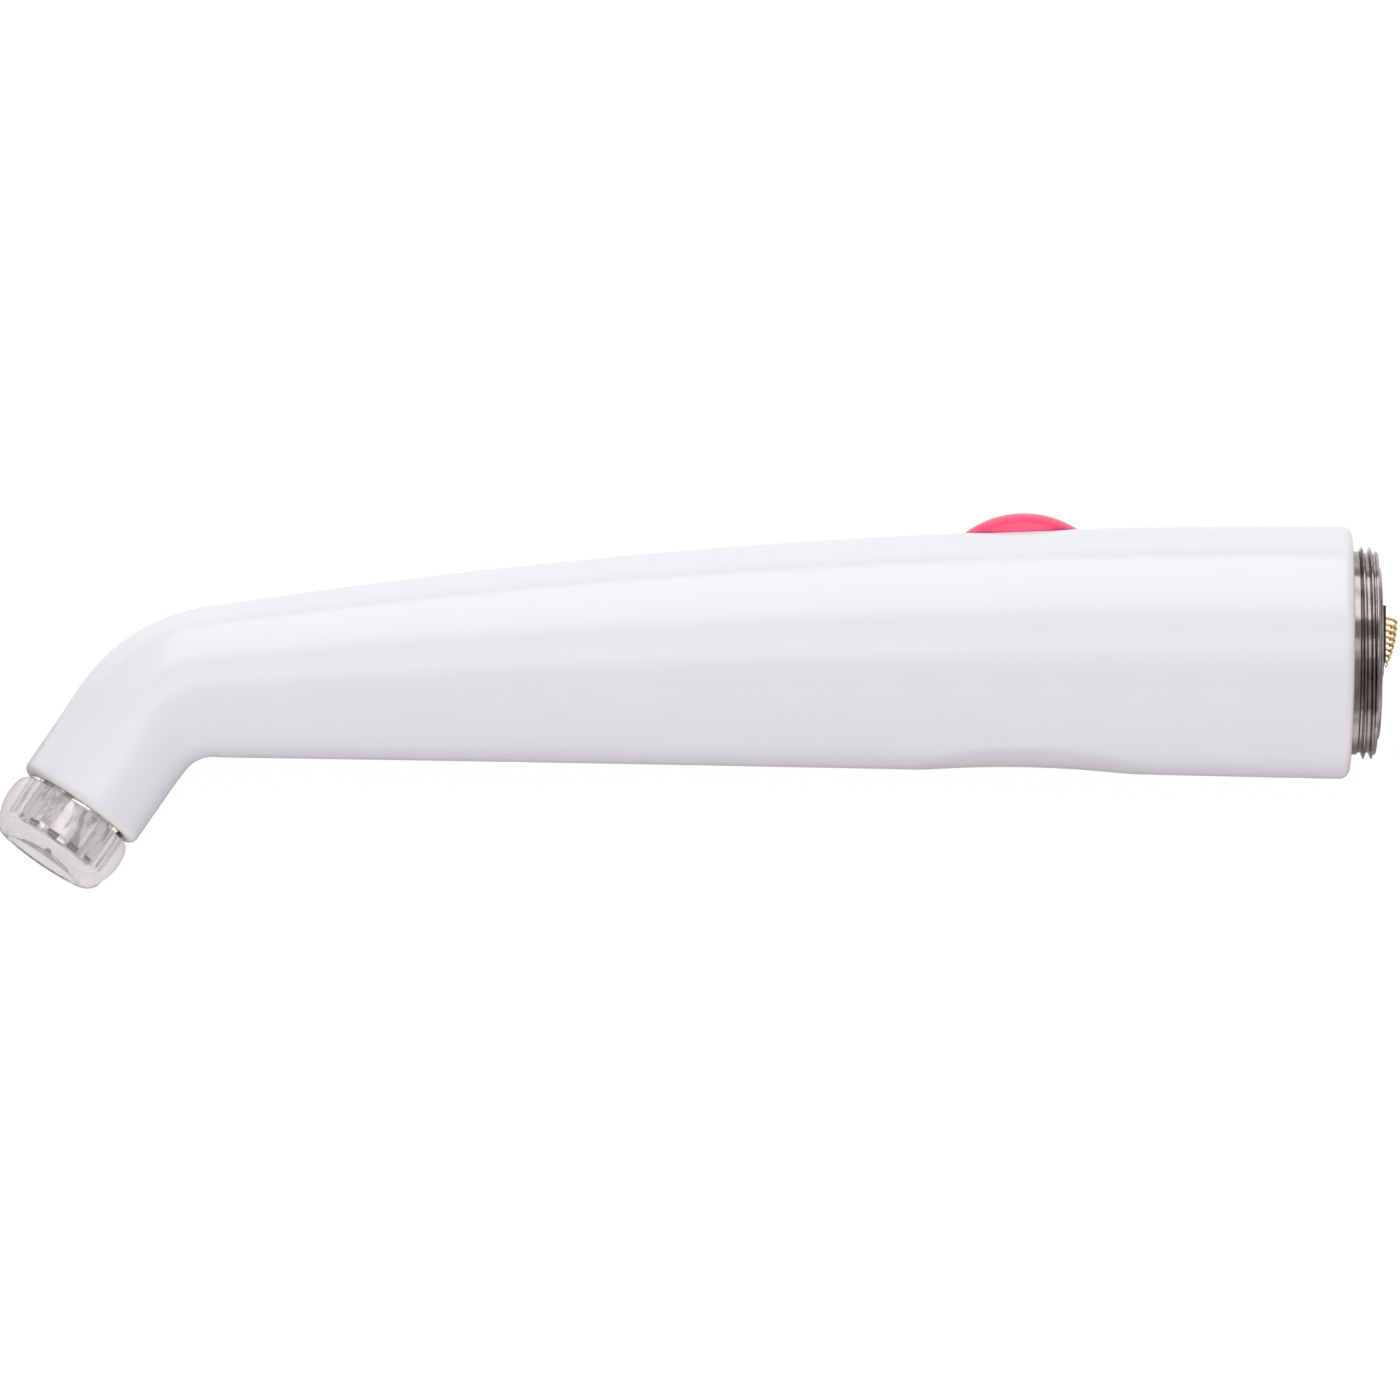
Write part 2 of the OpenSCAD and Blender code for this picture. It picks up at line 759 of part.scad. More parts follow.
lamp_step_r = lamp_board_r + seat_gap;
lamp_board_z = -barrel_depth;
lamp_top_z = lamp_board_z + lamp_board_t;
lamp_package_top = lamp_top_z + lamp_h;
barrel_end = flange_t + barrel_len;
reflector_start = lamp_package_top + 0.1;
reflector_end = -0.4;
lens_r = barrel_bore_r - seat_gap;
lens_start = reflector_end + 0.05;
barrel_seal_z = -1.6;
barrel_seal_r = head_bore - seal_t / 2;

module light_barrel() {
    color("silver") at_rim() difference() {
        turned([
            [-barrel_depth, lamp_step_r],
            [-barrel_depth, barrel_seat_r],
            [0, barrel_seat_r],
            [0, flange_r],
            [flange_t, flange_r],
            [flange_t, barrel_r],
            [barrel_end, barrel_r],
            [barrel_end, barrel_bore_r],
            [lamp_top_z, barrel_bore_r],
            [lamp_top_z, lamp_step_r]
        ]);
        translate([0, 0, barrel_seal_z - seal_groove_t / 2]) difference() {
            cylinder(h = seal_groove_t, r = barrel_seat_r + 1);
            translate([0, 0, -eps])
                cylinder(h = seal_groove_t + 2 * eps, r = barrel_seat_r - seal_t);
        }
    }
}

module barrel_seal() {
    color("black") at_rim() translate([0, 0, barrel_seal_z])
        rotate_extrude() translate([barrel_seal_r, 0]) circle(d = seal_t);
}

module lamp_board() {
    color("gainsboro") at_rim() translate([0, 0, lamp_board_z]) difference() {
        cylinder(h = lamp_board_t, r = lamp_board_r);
        for (side = [-1, 1]) translate([side * wire_z, 0, -eps])
            cylinder(h = lamp_board_t / 2, r = wire_r + wire_gap);
    }
}

module lamp_package() {
    color("ivory") at_rim() translate([-lamp_size / 2, -lamp_size / 2, lamp_top_z])
        cube([lamp_size, lamp_size, lamp_h]);
}

module lamp_dome() {
    color("lightblue") at_rim() translate([0, 0, lamp_package_top]) intersection() {
        sphere(r = lamp_dome_r);
        cylinder(h = lamp_dome_r + 1, r = lamp_dome_r + 1);
    }
}

module reflector() {
    cone_r = lamp_dome_r + 0.3;
    edge = 0.2;
    color("silver") at_rim() turned([
        [reflector_start, cone_r],
        [reflector_start, lens_r],
        [reflector_end, lens_r],
        [reflector_end, lens_r - edge]
    ]);
}

module collimator_lens() {
    rim_z = barrel_end;
    dome_r = retainer_bore_r - seat_gap;
    dome_h = 0.9;
    ball_r = (dome_r * dome_r + dome_h * dome_h) / (2 * dome_h);
    color("lightcyan") at_rim() {
        translate([0, 0, lens_start]) cylinder(h = rim_z - lens_start, r = lens_r);
        intersection() {
            translate([0, 0, rim_z + dome_h - ball_r]) sphere(r = ball_r);
            translate([0, 0, rim_z - eps]) cylinder(h = dome_h + 1, r = dome_r);
        }
    }
}

module lens_retainer() {
    notch_w = PI * barrel_r / retainer_notches;
    notch_depth = retainer_h / 2;
    color("dimgray") at_rim() translate([0, 0, barrel_end]) difference() {
        cylinder(h = retainer_h, r = barrel_r);
        translate([0, 0, -eps]) cylinder(h = retainer_h + 2 * eps, r = retainer_bore_r);
        for (i = [0 : retainer_notches - 1]) rotate([0, 0, 360 * i / retainer_notches])
            translate([retainer_bore_r + 0.35, -notch_w / 2, retainer_h - notch_depth])
                cube([barrel_r, notch_w, notch_depth + 1]);
    }
}

// ---- The lens cap ----

cap_start = flange_t + 0.05;
cap_bore_r = barrel_r + cap_fit;
cap_bore_len = cap_len - window_depth - window_t;

// The cap's outline from its rear face to its front ring: a short round at the back, a slow
// taper past the waist and a large round at the front
cap_shoulder_z = cap_len - (cap_r - cap_front_r) * 0.8;
cap_shoulder_r = cap_r - 0.45;
cap_steps = 6;
function cap_rear(k) =
    let (a = 90 * k / cap_steps)
    [cap_waist * (1 - cos(a)), cap_rear_r + (cap_r - cap_rear_r) * sin(a)];
function cap_side(k) =
    let (u = k / cap_steps)
    [cap_waist + (cap_shoulder_z - cap_waist) * u, cap_r - (cap_r - cap_shoulder_r) * u * u];
function cap_front(k) =
    let (a = 90 * k / cap_steps)
    [
        cap_shoulder_z + (cap_len - cap_shoulder_z) * sin(a),
        cap_front_r + (cap_shoulder_r - cap_front_r) * cos(a)
    ];

module lens_cap() {
    floor_z = cap_len - window_depth;
    color("azure") at_rim() translate([0, 0, cap_start]) turned([
        [0, cap_bore_r],
        for (k = [0 : cap_steps]) cap_rear(k),
        for (k = [1 : cap_steps]) cap_side(k),
        for (k = [1 : cap_steps]) cap_front(k),
        [cap_len, window_r + 0.3],
        [floor_z, window_r - 0.3],
        [floor_z, 0],
        [cap_bore_len, 0],
        [cap_bore_len, cap_bore_r]
    ]);
}

// ---- The heat path from the lamp to the neck ----

slug_front = -barrel_depth;
slug_r = head_r - wall - heat_gap;
pipe_grip = 1.8;
pipe_sides = 16;
spreader_r = core_at(grip_len) - heat_gap;

module wire_holes(h) {
    for (side = [-1, 1]) translate([side * wire_z, 0, 0])
        cylinder(h = h, r = wire_r + wire_gap);
}

module heat_slug() {
    color("peru") at_rim() difference() {
        translate([0, 0, slug_front - slug_len]) cylinder(h = slug_len, r = slug_r);
        translate([0, 0, slug_front - slug_len - eps]) wire_holes(slug_len + 2 * eps);
        translate([0, 0, slug_front - slug_len - eps])
            cylinder(h = pipe_grip + seat_gap, r = pipe_r + seat_gap);
    }
}

module heat_pipe() {
    pipe_front = slug_front - slug_len + pipe_grip - seat_gap;
    color("chocolate") tube(pipe_sides, pipe_r, [
        rim_centre + pipe_front * forward(head_turn),
        each bend_points,
        bend_start - (spreader_gap + spreader_len) * forward(sweep_angle)
    ]);
}

module heat_spreader() {
    color("silver") at_bend_start() translate([0, 0, spreader_gap]) difference() {
        cylinder(h = spreader_len, r = spreader_r);
        translate([0, 0, -eps]) wire_holes(spreader_len + 2 * eps);
        translate([0, 0, -eps]) cylinder(h = spreader_len + 2 * eps, r = pipe_r + seat_gap);
    }
}

// ---- Wires ----

wire_sides = 8;
neck_wire_end = bend_start - (spreader_gap + spreader_len + 1) * forward(sweep_angle);
socket_mouth = [
    -board_start - socket_x - socket_len / 2,
    board_top + socket_h / 2,
    0
];

function lamp_route(side) = [
    for (p = [
        rim_centre + (lamp_board_z + lamp_board_t / 2 - 2 * eps) * forward(head_turn),
        each bend_points,
        neck_wire_end,
        socket_mouth + [-2, 0, 0],
        socket_mouth + [1, 0, 0]
    ]) p + [0, 0, side * wire_z]
];

module lamp_wire(side, tone) {
    color(tone) tube(wire_sides, wire_r, lamp_route(side));
}

tail_end = block_start - tail_len;

function supply_route(side) = [
    [tail_end - eps, block_middle, side * contact_z],
    [tail_end - 1.2, block_middle, side * contact_z],
    [-board_start - 0.6, board_top + 1.6, side * (contact_z + 0.6)],
    [-board_start - 1.6, board_top + wire_r + 0.1, side * (contact_z + 1)],
    [-board_start - 3, board_top + wire_r, side * (contact_z + 1.2)]
];

module supply_wire(side, tone) {
    color(tone) tube(wire_sides, wire_r, supply_route(side));
}

// ---- The part's frame ----

module part_frame() {
    translate([-thread_middle, 0, 0]) children();
}

part_frame() housing();
part_frame() button();
part_frame() tact_switch();
part_frame() switch_plunger();
part_frame() circuit_board();
part_frame() driver_chip();
part_frame() control_chip();
part_frame() inductor();
part_frame() capacitor(1);  // capacitor_1
part_frame() capacitor(2);  // capacitor_2
part_frame() capacitor(3);  // capacitor_3
part_frame() resistor(1);  // resistor_1
part_frame() resistor(2);  // resistor_2
part_frame() resistor(3);  // resistor_3
part_frame() resistor(4);  // resistor_4
part_frame() buzzer();
part_frame() lamp_socket();
part_frame() board_carrier();
part_frame() board_screws();
part_frame() carrier_screws();
part_frame() heat_spreader();
part_frame() heat_pipe();
part_frame() heat_slug();
part_frame() light_barrel();
part_frame() barrel_seal();
part_frame() lamp_board();
part_frame() lamp_package();
part_frame() lamp_dome();
part_frame() reflector();
part_frame() collimator_lens();
part_frame() lens_retainer();
part_frame() lens_cap();
part_frame() lamp_wire(1, "red");  // lamp_wire_1
part_frame() lamp_wire(-1, "black");  // lamp_wire_2
part_frame() coupling_ring();
part_frame() ring_seal();
part_frame() contact_carrier();
part_frame() contact_block();
part_frame() contact(1);  // contact_1
part_frame() contact(-1);  // contact_2
part_frame() supply_wire(1, "red");  // supply_wire_1
part_frame() supply_wire(-1, "black");  // supply_wire_2
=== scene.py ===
"""Looks of the front section of a dental curing light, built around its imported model.

New pieces are modelled in millimetres about their own axis, placed in the frame of the
model and turned into metres. Distances along the housing run from its rear face, and the
frame's origin lies in the middle of the coupling thread.
"""

import logging
import math
from collections.abc import Callable, Iterator, Sequence
from contextlib import contextmanager
from dataclasses import dataclass
from enum import Enum

import bmesh
import bpy
from mathutils import Matrix, Vector


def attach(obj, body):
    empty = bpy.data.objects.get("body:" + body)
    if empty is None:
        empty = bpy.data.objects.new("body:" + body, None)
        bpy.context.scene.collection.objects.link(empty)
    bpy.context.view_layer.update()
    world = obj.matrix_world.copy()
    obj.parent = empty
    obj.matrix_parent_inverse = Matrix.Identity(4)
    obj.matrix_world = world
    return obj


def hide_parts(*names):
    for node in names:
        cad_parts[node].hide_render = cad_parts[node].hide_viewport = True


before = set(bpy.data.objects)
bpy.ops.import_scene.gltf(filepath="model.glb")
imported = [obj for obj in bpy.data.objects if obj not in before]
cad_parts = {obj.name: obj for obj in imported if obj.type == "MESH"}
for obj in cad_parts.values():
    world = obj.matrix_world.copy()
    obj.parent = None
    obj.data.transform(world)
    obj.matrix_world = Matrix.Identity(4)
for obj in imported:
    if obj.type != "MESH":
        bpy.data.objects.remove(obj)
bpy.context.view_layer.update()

log = logging.getLogger("front_section")

MM = 0.001
THREAD_MIDDLE = 1.5
Point = tuple[float, float]
Corner = tuple[float, float, float]
Colour = tuple[float, float, float]
WHITE: Colour = (1.0, 1.0, 1.0)


class Body(Enum):
    """The bodies that pieces ride on."""

    FRONT = "front_section"
    BUTTON = "button"
    CAP = "lens_cap"


# ---- Outlines ----


def rounded(corners: Sequence[Corner], steps: int = 4) -> list[Point]:
    """Rounds the corners of a closed outline.

    Args:
        corners: Each corner's distance along the axis, its radius and its rounding.
        steps: Segments of each rounding.

    Returns:
        The outline's points in the same order.
    """
    outline: list[Point] = []
    for i, (z, r, rounding) in enumerate(corners):
        here = Vector((z, r))
        if rounding <= 0:
            outline.append((z, r))
            continue
        before = (Vector(corners[i - 1][:2]) - here).normalized()
        after = (Vector(corners[(i + 1) % len(corners)][:2]) - here).normalized()
        half = before.angle(after) / 2
        reach = rounding / math.tan(half)
        middle = here + (before + after).normalized() * rounding / math.sin(half)
        start, end = here + before * reach - middle, here + after * reach - middle
        first = math.atan2(start.y, start.x)
        sweep = (math.atan2(end.y, end.x) - first + math.pi) % math.tau - math.pi
        for k in range(steps + 1):
            a = first + sweep * k / steps
            outline.append((middle.x + rounding * math.cos(a), middle.y + rounding * math.sin(a)))
    return outline


# ---- The workbench ----


class Workpiece:
    """A new piece while it is shaped with Blender's operators, in millimetres."""

    def __init__(self, name: str) -> None:
        """Takes the primitive that was just added and names it."""
        self.body: bpy.types.Object = bpy.context.object
        self.body.name = name
        self.body.data.name = name

    @staticmethod
    def clear() -> None:
        """Deselects everything."""
        bpy.ops.object.select_all(action="DESELECT")

    def take(self) -> None:
        """Selects this piece alone and makes it the active one."""
        self.clear()
        self.body.select_set(True)
        bpy.context.view_layer.objects.active = self.body

    def drop(self) -> None:
        """Removes the piece."""
        bpy.data.objects.remove(self.body, do_unlink=True)

    @classmethod
    def circle(cls, name: str, radius: float, sides: int, height: float = 0) -> "Workpiece":
        """Starts from a circle about z, half a step round so that no corner is on an axis."""
        cls.clear()
        bpy.ops.mesh.primitive_circle_add(
            vertices=sides, radius=radius, location=(0, 0, height), rotation=(0, 0, math.pi / sides)
        )
        piece = cls(name)
        bpy.ops.object.transform_apply()
        return piece

    @classmethod
    def block(cls, name: str, low: Sequence[float], high: Sequence[float]) -> "Workpiece":
        """Starts from a box between two corners."""
        cls.clear()
        middle = [(a + b) / 2 for a, b in zip(low, high)]
        size = [b - a for a, b in zip(low, high)]
        bpy.ops.mesh.primitive_cube_add(size=1, location=middle, scale=size)
        piece = cls(name)
        bpy.ops.object.transform_apply()
        return piece

    @classmethod
    def chain(cls, name: str, outline: Sequence[Point], closed: bool = True) -> "Workpiece":
        """Draws an outline in the xz plane by extruding one vertex from point to point.

        Args:
            name: Name of the piece.
            outline: Distance along z and along x of each point.
            closed: Whether the last point joins the first.

        Returns:
            The piece, a chain of edges.
        """
        cls.clear()
        z, x = outline[0]
        bpy.ops.mesh.primitive_plane_add(size=0.1, location=(x, 0, z))
        piece = cls(name)
        bpy.ops.object.transform_apply()
        with piece.editing():
            bpy.ops.mesh.merge(type="CENTER")
            for there in outline[1:]:
                piece.extrude(there[1] - x, 0, there[0] - z)
                z, x = there
            if closed:
                mesh = bmesh.from_edit_mesh(piece.body.data)
                ends = [v for v in mesh.verts if len(v.link_edges) == 1]
                for end in ends:
                    end.select = True
                bpy.ops.mesh.edge_face_add()
        return piece

    @classmethod
    def turned(
        cls, name: str, outline: Sequence[Point], sides: int = 96, closed: bool = True
    ) -> "Workpiece":
        """Turns an outline about z, as on a lathe.

        Args:
            name: Name of the piece.
            outline: Distance along z and radius of each point.
            sides: Steps round the axis.
            closed: Whether the outline is a loop; an open one starts and ends on the axis.

        Returns:
            The turned piece, closed and with its faces outwards.
        """
        piece = cls.chain(name, outline, closed)
        with piece.editing():
            bpy.ops.mesh.spin(
                steps=sides, angle=math.tau, center=(0, 0, 0), axis=(0, 0, 1), use_auto_merge=False
            )
        piece.close()
        return piece

    @contextmanager
    def editing(self) -> Iterator[None]:
        """Edit mode on this piece alone, with all of it selected."""
        self.take()
        bpy.ops.object.mode_set(mode="EDIT")
        bpy.context.tool_settings.mesh_select_mode = (True, True, True)
        bpy.ops.mesh.select_all(action="SELECT")
        try:
            yield
        finally:
            bpy.ops.object.mode_set(mode="OBJECT")

    @staticmethod
    def extrude(x: float = 0, y: float = 0, z: float = 0) -> None:
        """Extrudes what is selected in edit mode by a step."""
        bpy.ops.mesh.extrude_region_move(TRANSFORM_OT_translate={"value": (x, y, z)})

    def close(self) -> None:
        """Merges doubled points and turns the faces outwards."""
        with self.editing():
            bpy.ops.mesh.remove_doubles(threshold=0.0005)
            bpy.ops.mesh.normals_make_consistent(inside=False)

    def pick(self, kind: str, test: Callable[[Vector, Vector], bool]) -> None:
        """Selects in edit mode what passes a test.

        Args:
            kind: verts or edges.
            test: Takes an item's middle, and its normal or an edge's direction.
        """
        bpy.ops.mesh.select_all(action="DESELECT")
        mesh = bmesh.from_edit_mesh(self.body.data)
        for item in getattr(mesh, kind):
            if kind == "verts":
                middle, along = item.co, item.normal
            else:
                middle = (item.verts[0].co + item.verts[1].co) / 2
                along = (item.verts[1].co - item.verts[0].co).normalized()
            if test(middle, along):
                item.select_set(True)
        mesh.select_flush_mode()
        bmesh.update_edit_mesh(self.body.data)

    def modify(self, kind: str, **settings: object) -> None:
        """Adds a modifier with these settings and applies it."""
        self.take()
        modifier = self.body.modifiers.new(kind.title(), kind)
        for name, value in settings.items():
            setattr(modifier, name, value)
        bpy.ops.object.modifier_apply(modifier=modifier.name)

    def cut(self, tool: "Workpiece", operation: str = "DIFFERENCE") -> None:
        """Cuts this piece with another, or joins or intersects them, and removes the other."""
        self.modify("BOOLEAN", object=tool.body, operation=operation, solver="EXACT")
        tool.drop()

    def cut_round(self, tool: "Workpiece", count: int, first: float = 0) -> None:
        """Cuts this piece with copies of a tool, evenly spaced about z, and removes the tool.

        Args:
            tool: The model of the tools.
            count: How many copies there are.
            first: Place of the first one, in steps from the model.
        """
        for i in range(count):
            twin = tool.copy("tool_copy")
            twin.move(Matrix.Rotation(math.tau * (i + first) / count, 4, "Z"))
            self.cut(twin)
        tool.drop()

    def soften(self, width: float, angle: float = 35, segments: int = 3) -> None:
        """Rounds the edges that are sharper than an angle in degrees."""
        self.modify(
            "BEVEL",
            width=width,
            segments=segments,
            limit_method="ANGLE",
            angle_limit=math.radians(angle),
            use_clamp_overlap=True,
        )

    def copy(self, name: str) -> "Workpiece":
        """Makes a copy with a mesh of its own."""
        twin = self.body.copy()
        twin.data = self.body.data.copy()
        bpy.context.collection.objects.link(twin)
        self.clear()
        bpy.context.view_layer.objects.active = twin
        twin.select_set(True)
        return Workpiece(name)

    def move(self, matrix: Matrix) -> None:
        """Moves the mesh by a matrix, in millimetres."""
        self.take()
        self.body.matrix_world = matrix
        bpy.ops.object.transform_apply(location=True, rotation=True, scale=True)

    def finish(
        self,
        slot: str,
        look: bpy.types.Material,
        nodes: Sequence[str] = (),
        place: Matrix = Matrix.Identity(4),
        ride: Body = Body.FRONT,
        sharp: float = 32,
    ) -> None:
        """Args:
            slot: Material slot in the record; not used.
            look: Its material.
            nodes: CAD nodes that it replaces.
            place: Where its own axis goes, in millimetres from the rear face.
            ride: Body that it moves with.
            sharp: Angle in degrees above which an edge looks sharp.
        """
        to_frame = Matrix.Scale(MM, 4) @ Matrix.Translation((-THREAD_MIDDLE, 0, 0))
        self.move(to_frame @ place)
        bpy.ops.object.shade_smooth_by_angle(angle=math.radians(sharp))
        self.body.data.materials.clear()
        self.body.data.materials.append(look)
        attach(self.body, ride.value)
        if nodes:
            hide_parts(*nodes)
        faces = len(self.body.data.polygons)
        log.info("%s: %d faces, rides on %s", self.body.name, faces, ride.value)


# ---- The housing's centreline ----


@dataclass(frozen=True)
class Centreline:
    """Centreline of the housing: a straight start, a slow sweep, a tight bend and a head."""

    grip_len: float = 113.8
    straight_len: float = 10
    sweep_angle: float = 4.6
    bend_r: float = 11
    bend_angle: float = 52
    head_len: float = 9.6

    @property
    def bend_len(self) -> float:
        """Length of the centreline in the bend."""
        return math.radians(self.bend_angle) * self.bend_r

    @property
    def full_len(self) -> float:
        """Length of the whole centreline."""
        return self.grip_len + self.bend_len + self.head_len

    @property
    def head_turn(self) -> float:
        """Turn of the head in degrees."""
        return self.sweep_angle + self.bend_angle

    def turn(self, s: float) -> float:
        """Turn in degrees at distance s from the rear face."""
        if s <= self.straight_len:
            return 0
        if s <= self.grip_len:
            return self.sweep_angle * (s - self.straight_len) / (self.grip_len - self.straight_len)
        bent = min(1, (s - self.grip_len) / self.bend_len)
        return self.sweep_angle + self.bend_angle * bent

    @staticmethod
    def forward(turn: float) -> Vector:
        """Direction towards the head at a turn in degrees."""
        a = math.radians(turn)
        return Vector((-math.cos(a), -math.sin(a), 0))

    @staticmethod
    def outward(turn: float) -> Vector:
        """Direction square to the centreline on the bend's outside."""
        a = math.radians(turn)
        return Vector((-math.sin(a), math.cos(a), 0))

    def at(self, s: float) -> Vector:
        """Point of the centreline at distance s from the rear face."""
        straight = Vector((-self.straight_len, 0, 0))
        sweep_r = (self.grip_len - self.straight_len) / math.radians(self.sweep_angle)
        centre = straight - sweep_r * Vector((0, 1, 0))
        if s <= self.straight_len:
            return Vector((-s, 0, 0))
        if s <= self.grip_len:
            return centre + sweep_r * self.outward(self.turn(s))
        start = centre + sweep_r * self.outward(self.sweep_angle)
        bend = start - self.bend_r * self.outward(self.sweep_angle)
        point = bend + self.bend_r * self.outward(self.turn(s))
        beyond = s - self.grip_len - self.bend_len
        return point + max(0, beyond) * self.forward(self.head_turn)


LINE = Centreline()
ALONG_X = Matrix.Rotation(math.radians(90), 4, "Y")
TO_BUTTON = Matrix.Rotation(math.radians(-90), 4, "X")
AT_RIM = (
    Matrix.Translation(LINE.at(LINE.full_len))
    @ Matrix.Rotation(math.radians(LINE.head_turn), 4, "Z")
    @ Matrix.Rotation(math.radians(-90), 4, "Y")
)


# ---- Materials ----


class Link:
    """An output in a material, on which Python's operators add Math nodes."""

    def __init__(self, recipe: "Recipe", socket: bpy.types.NodeSocket) -> None:
        """Wraps a socket of a recipe."""
        self.recipe = recipe
        self.socket = socket

    def _sum(self, operation: str, *values: "Link | float") -> "Link":
        """Adds a Math node on these values."""
        return self.recipe.node("Math", dict(enumerate(values)), operation=operation)

    def __add__(self, other: "Link | float") -> "Link":
        """This plus other."""
        return self._sum("ADD", self, other)

    __radd__ = __add__

    def __sub__(self, other: "Link | float") -> "Link":
        """This minus other."""
        return self._sum("SUBTRACT", self, other)

    def __rsub__(self, other: "Link | float") -> "Link":
        """Other minus this."""
        return self._sum("SUBTRACT", other, self)

    def __mul__(self, other: "Link | float") -> "Link":
        """This times other."""
        return self._sum("MULTIPLY", self, other)

    __rmul__ = __mul__

    def __pow__(self, other: float) -> "Link":
        """This to a power."""
        return self._sum("POWER", self, other)

    def above(self, edge: float, soft: float) -> "Link":
        """A mask that rises from 0 to 1 over a soft band that starts at an edge."""
        return self.recipe.node(
            "MapRange", {"Value": self, "From Min": edge, "From Max": edge + soft}, clamp=True
        )

    def below(self, edge: float, soft: float) -> "Link":
        """A mask that falls from 1 to 0 over a soft band that starts at an edge."""
        return 1 - self.above(edge, soft)


Value = Link | float | Sequence[float]
TEXTURES = {"Noise", "Voronoi"}


class Recipe:
    """The nodes of one material."""

    def __init__(self, name: str) -> None:
        """Starts an empty material."""
        self.material = bpy.data.materials.new(name)
        self.material.use_nodes = True
        self.nodes = self.material.node_tree.nodes
        self.nodes.clear()
        self.place = self.node("TexCoord", {}, output="Object")
        split = self.node("SeparateXYZ", {0: self.place})
        sockets = split.socket.node.outputs
        self.x, self.y, self.z = (Link(self, sockets[axis]) for axis in "XYZ")

    def node(
        self,
        kind: str,
        inputs: dict[int | str, Value],
        output: int | str = 0,
        **settings: object,
    ) -> Link:
        """Adds a node.

        Args:
            kind: Type of the node, without its prefix.
            inputs: Values or links for its sockets, by number or name.
            output: Socket to return.
            settings: The node's own settings.

        Returns:
            The chosen output.
        """
        prefix = "ShaderNodeTex" if kind in TEXTURES else "ShaderNode"
        made = self.nodes.new(prefix + kind)
        for name, value in settings.items():
            setattr(made, name, value)
        for name, value in inputs.items():
            socket = made.inputs[name]
            if isinstance(value, Link):
                self.material.node_tree.links.new(value.socket, socket)
            elif isinstance(value, (int, float)) or len(value) == len(socket.default_value):
                socket.default_value = value
            else:
                socket.default_value = (*value, 1)
        return Link(self, made.outputs[output] if made.outputs else made.inputs[0])

    def noise(self, size: float, detail: float = 2, stretch: Colour = (1, 1, 1)) -> Link:
        """Noise with features of a size in millimetres, drawn out along the axes by stretch."""
        squeeze = [1 / s for s in stretch]
        place = self.node("VectorMath", {0: self.place, 1: squeeze}, operation="MULTIPLY")
        return self.node("Noise", {"Vector": place, "Scale": 1 / (size * MM), "Detail": detail})

    def blend(self, mask: Value, first: Value, second: Value) -> Link:
        """Goes from the first colour to the second as the mask rises."""
        return self.node("Mix", {0: mask, 6: first, 7: second}, output=2, data_type="RGBA")

    def bump(self, height: Link, depth: float, under: Link | None = None) -> Link:
        """Relief whose height of 1 is a depth in millimetres, over another relief if given."""
        inputs: dict[int | str, Value] = {"Height": height, "Distance": depth * MM, "Strength": 1}
        if under is not None:
            inputs["Normal"] = under
        return self.node("Bump", inputs)

    def surface(self, **sockets: Value) -> bpy.types.Material:
        """Ends the material in one shader whose sockets are named with underscores."""
        inputs = {name.replace("_", " "): value for name, value in sockets.items()}
        shader = self.node("BsdfPrincipled", inputs)
        self.node("OutputMaterial", {"Surface": shader})
        return self.material


@dataclass(frozen=True)
class MouldedPlastic:
    """Injection-moulded plastic with a fine ripple and, where asked, a tint at its rims."""

    name: str
    colour: Colour
    roughness: float = 0.3
    ripple: float = 0.01
    grain: float = 0.002
    shade: float = 0.94
    rim_tint: Colour | None = None
    rim_depth: float = 0.45
    rim_soft: float = 0.4

    def make(self) -> bpy.types.Material:
        """Builds the material."""
        recipe = Recipe(self.name)
        cloud = recipe.noise(6, 3)
        speckle = recipe.noise(0.12, 2)
        deep = [self.shade * c for c in self.colour]
        colour = recipe.blend(cloud.above(0.35, 0.3) * 0.6, self.colour, deep)
        if self.rim_tint is not None:
            rear = recipe.x.above(-(THREAD_MIDDLE + self.rim_depth) * MM, self.rim_soft * MM)
            ahead = LINE.forward(LINE.head_turn)
            rim = (LINE.at(LINE.full_len) - Vector((THREAD_MIDDLE, 0, 0))).dot(ahead)
            reach = recipe.x * ahead.x + recipe.y * ahead.y
            front = reach.above((rim - self.rim_depth) * MM, self.rim_soft * MM)
            colour = recipe.blend((rear + front) * 0.6, colour, self.rim_tint)
        waves = recipe.bump(recipe.noise(1.6, 2), self.ripple)
        return recipe.surface(
            Base_Color=colour,
            Roughness=self.roughness + (speckle - 0.5) * 0.08,
            IOR=1.5,
            Normal=recipe.bump(speckle, self.grain, under=waves),
        )


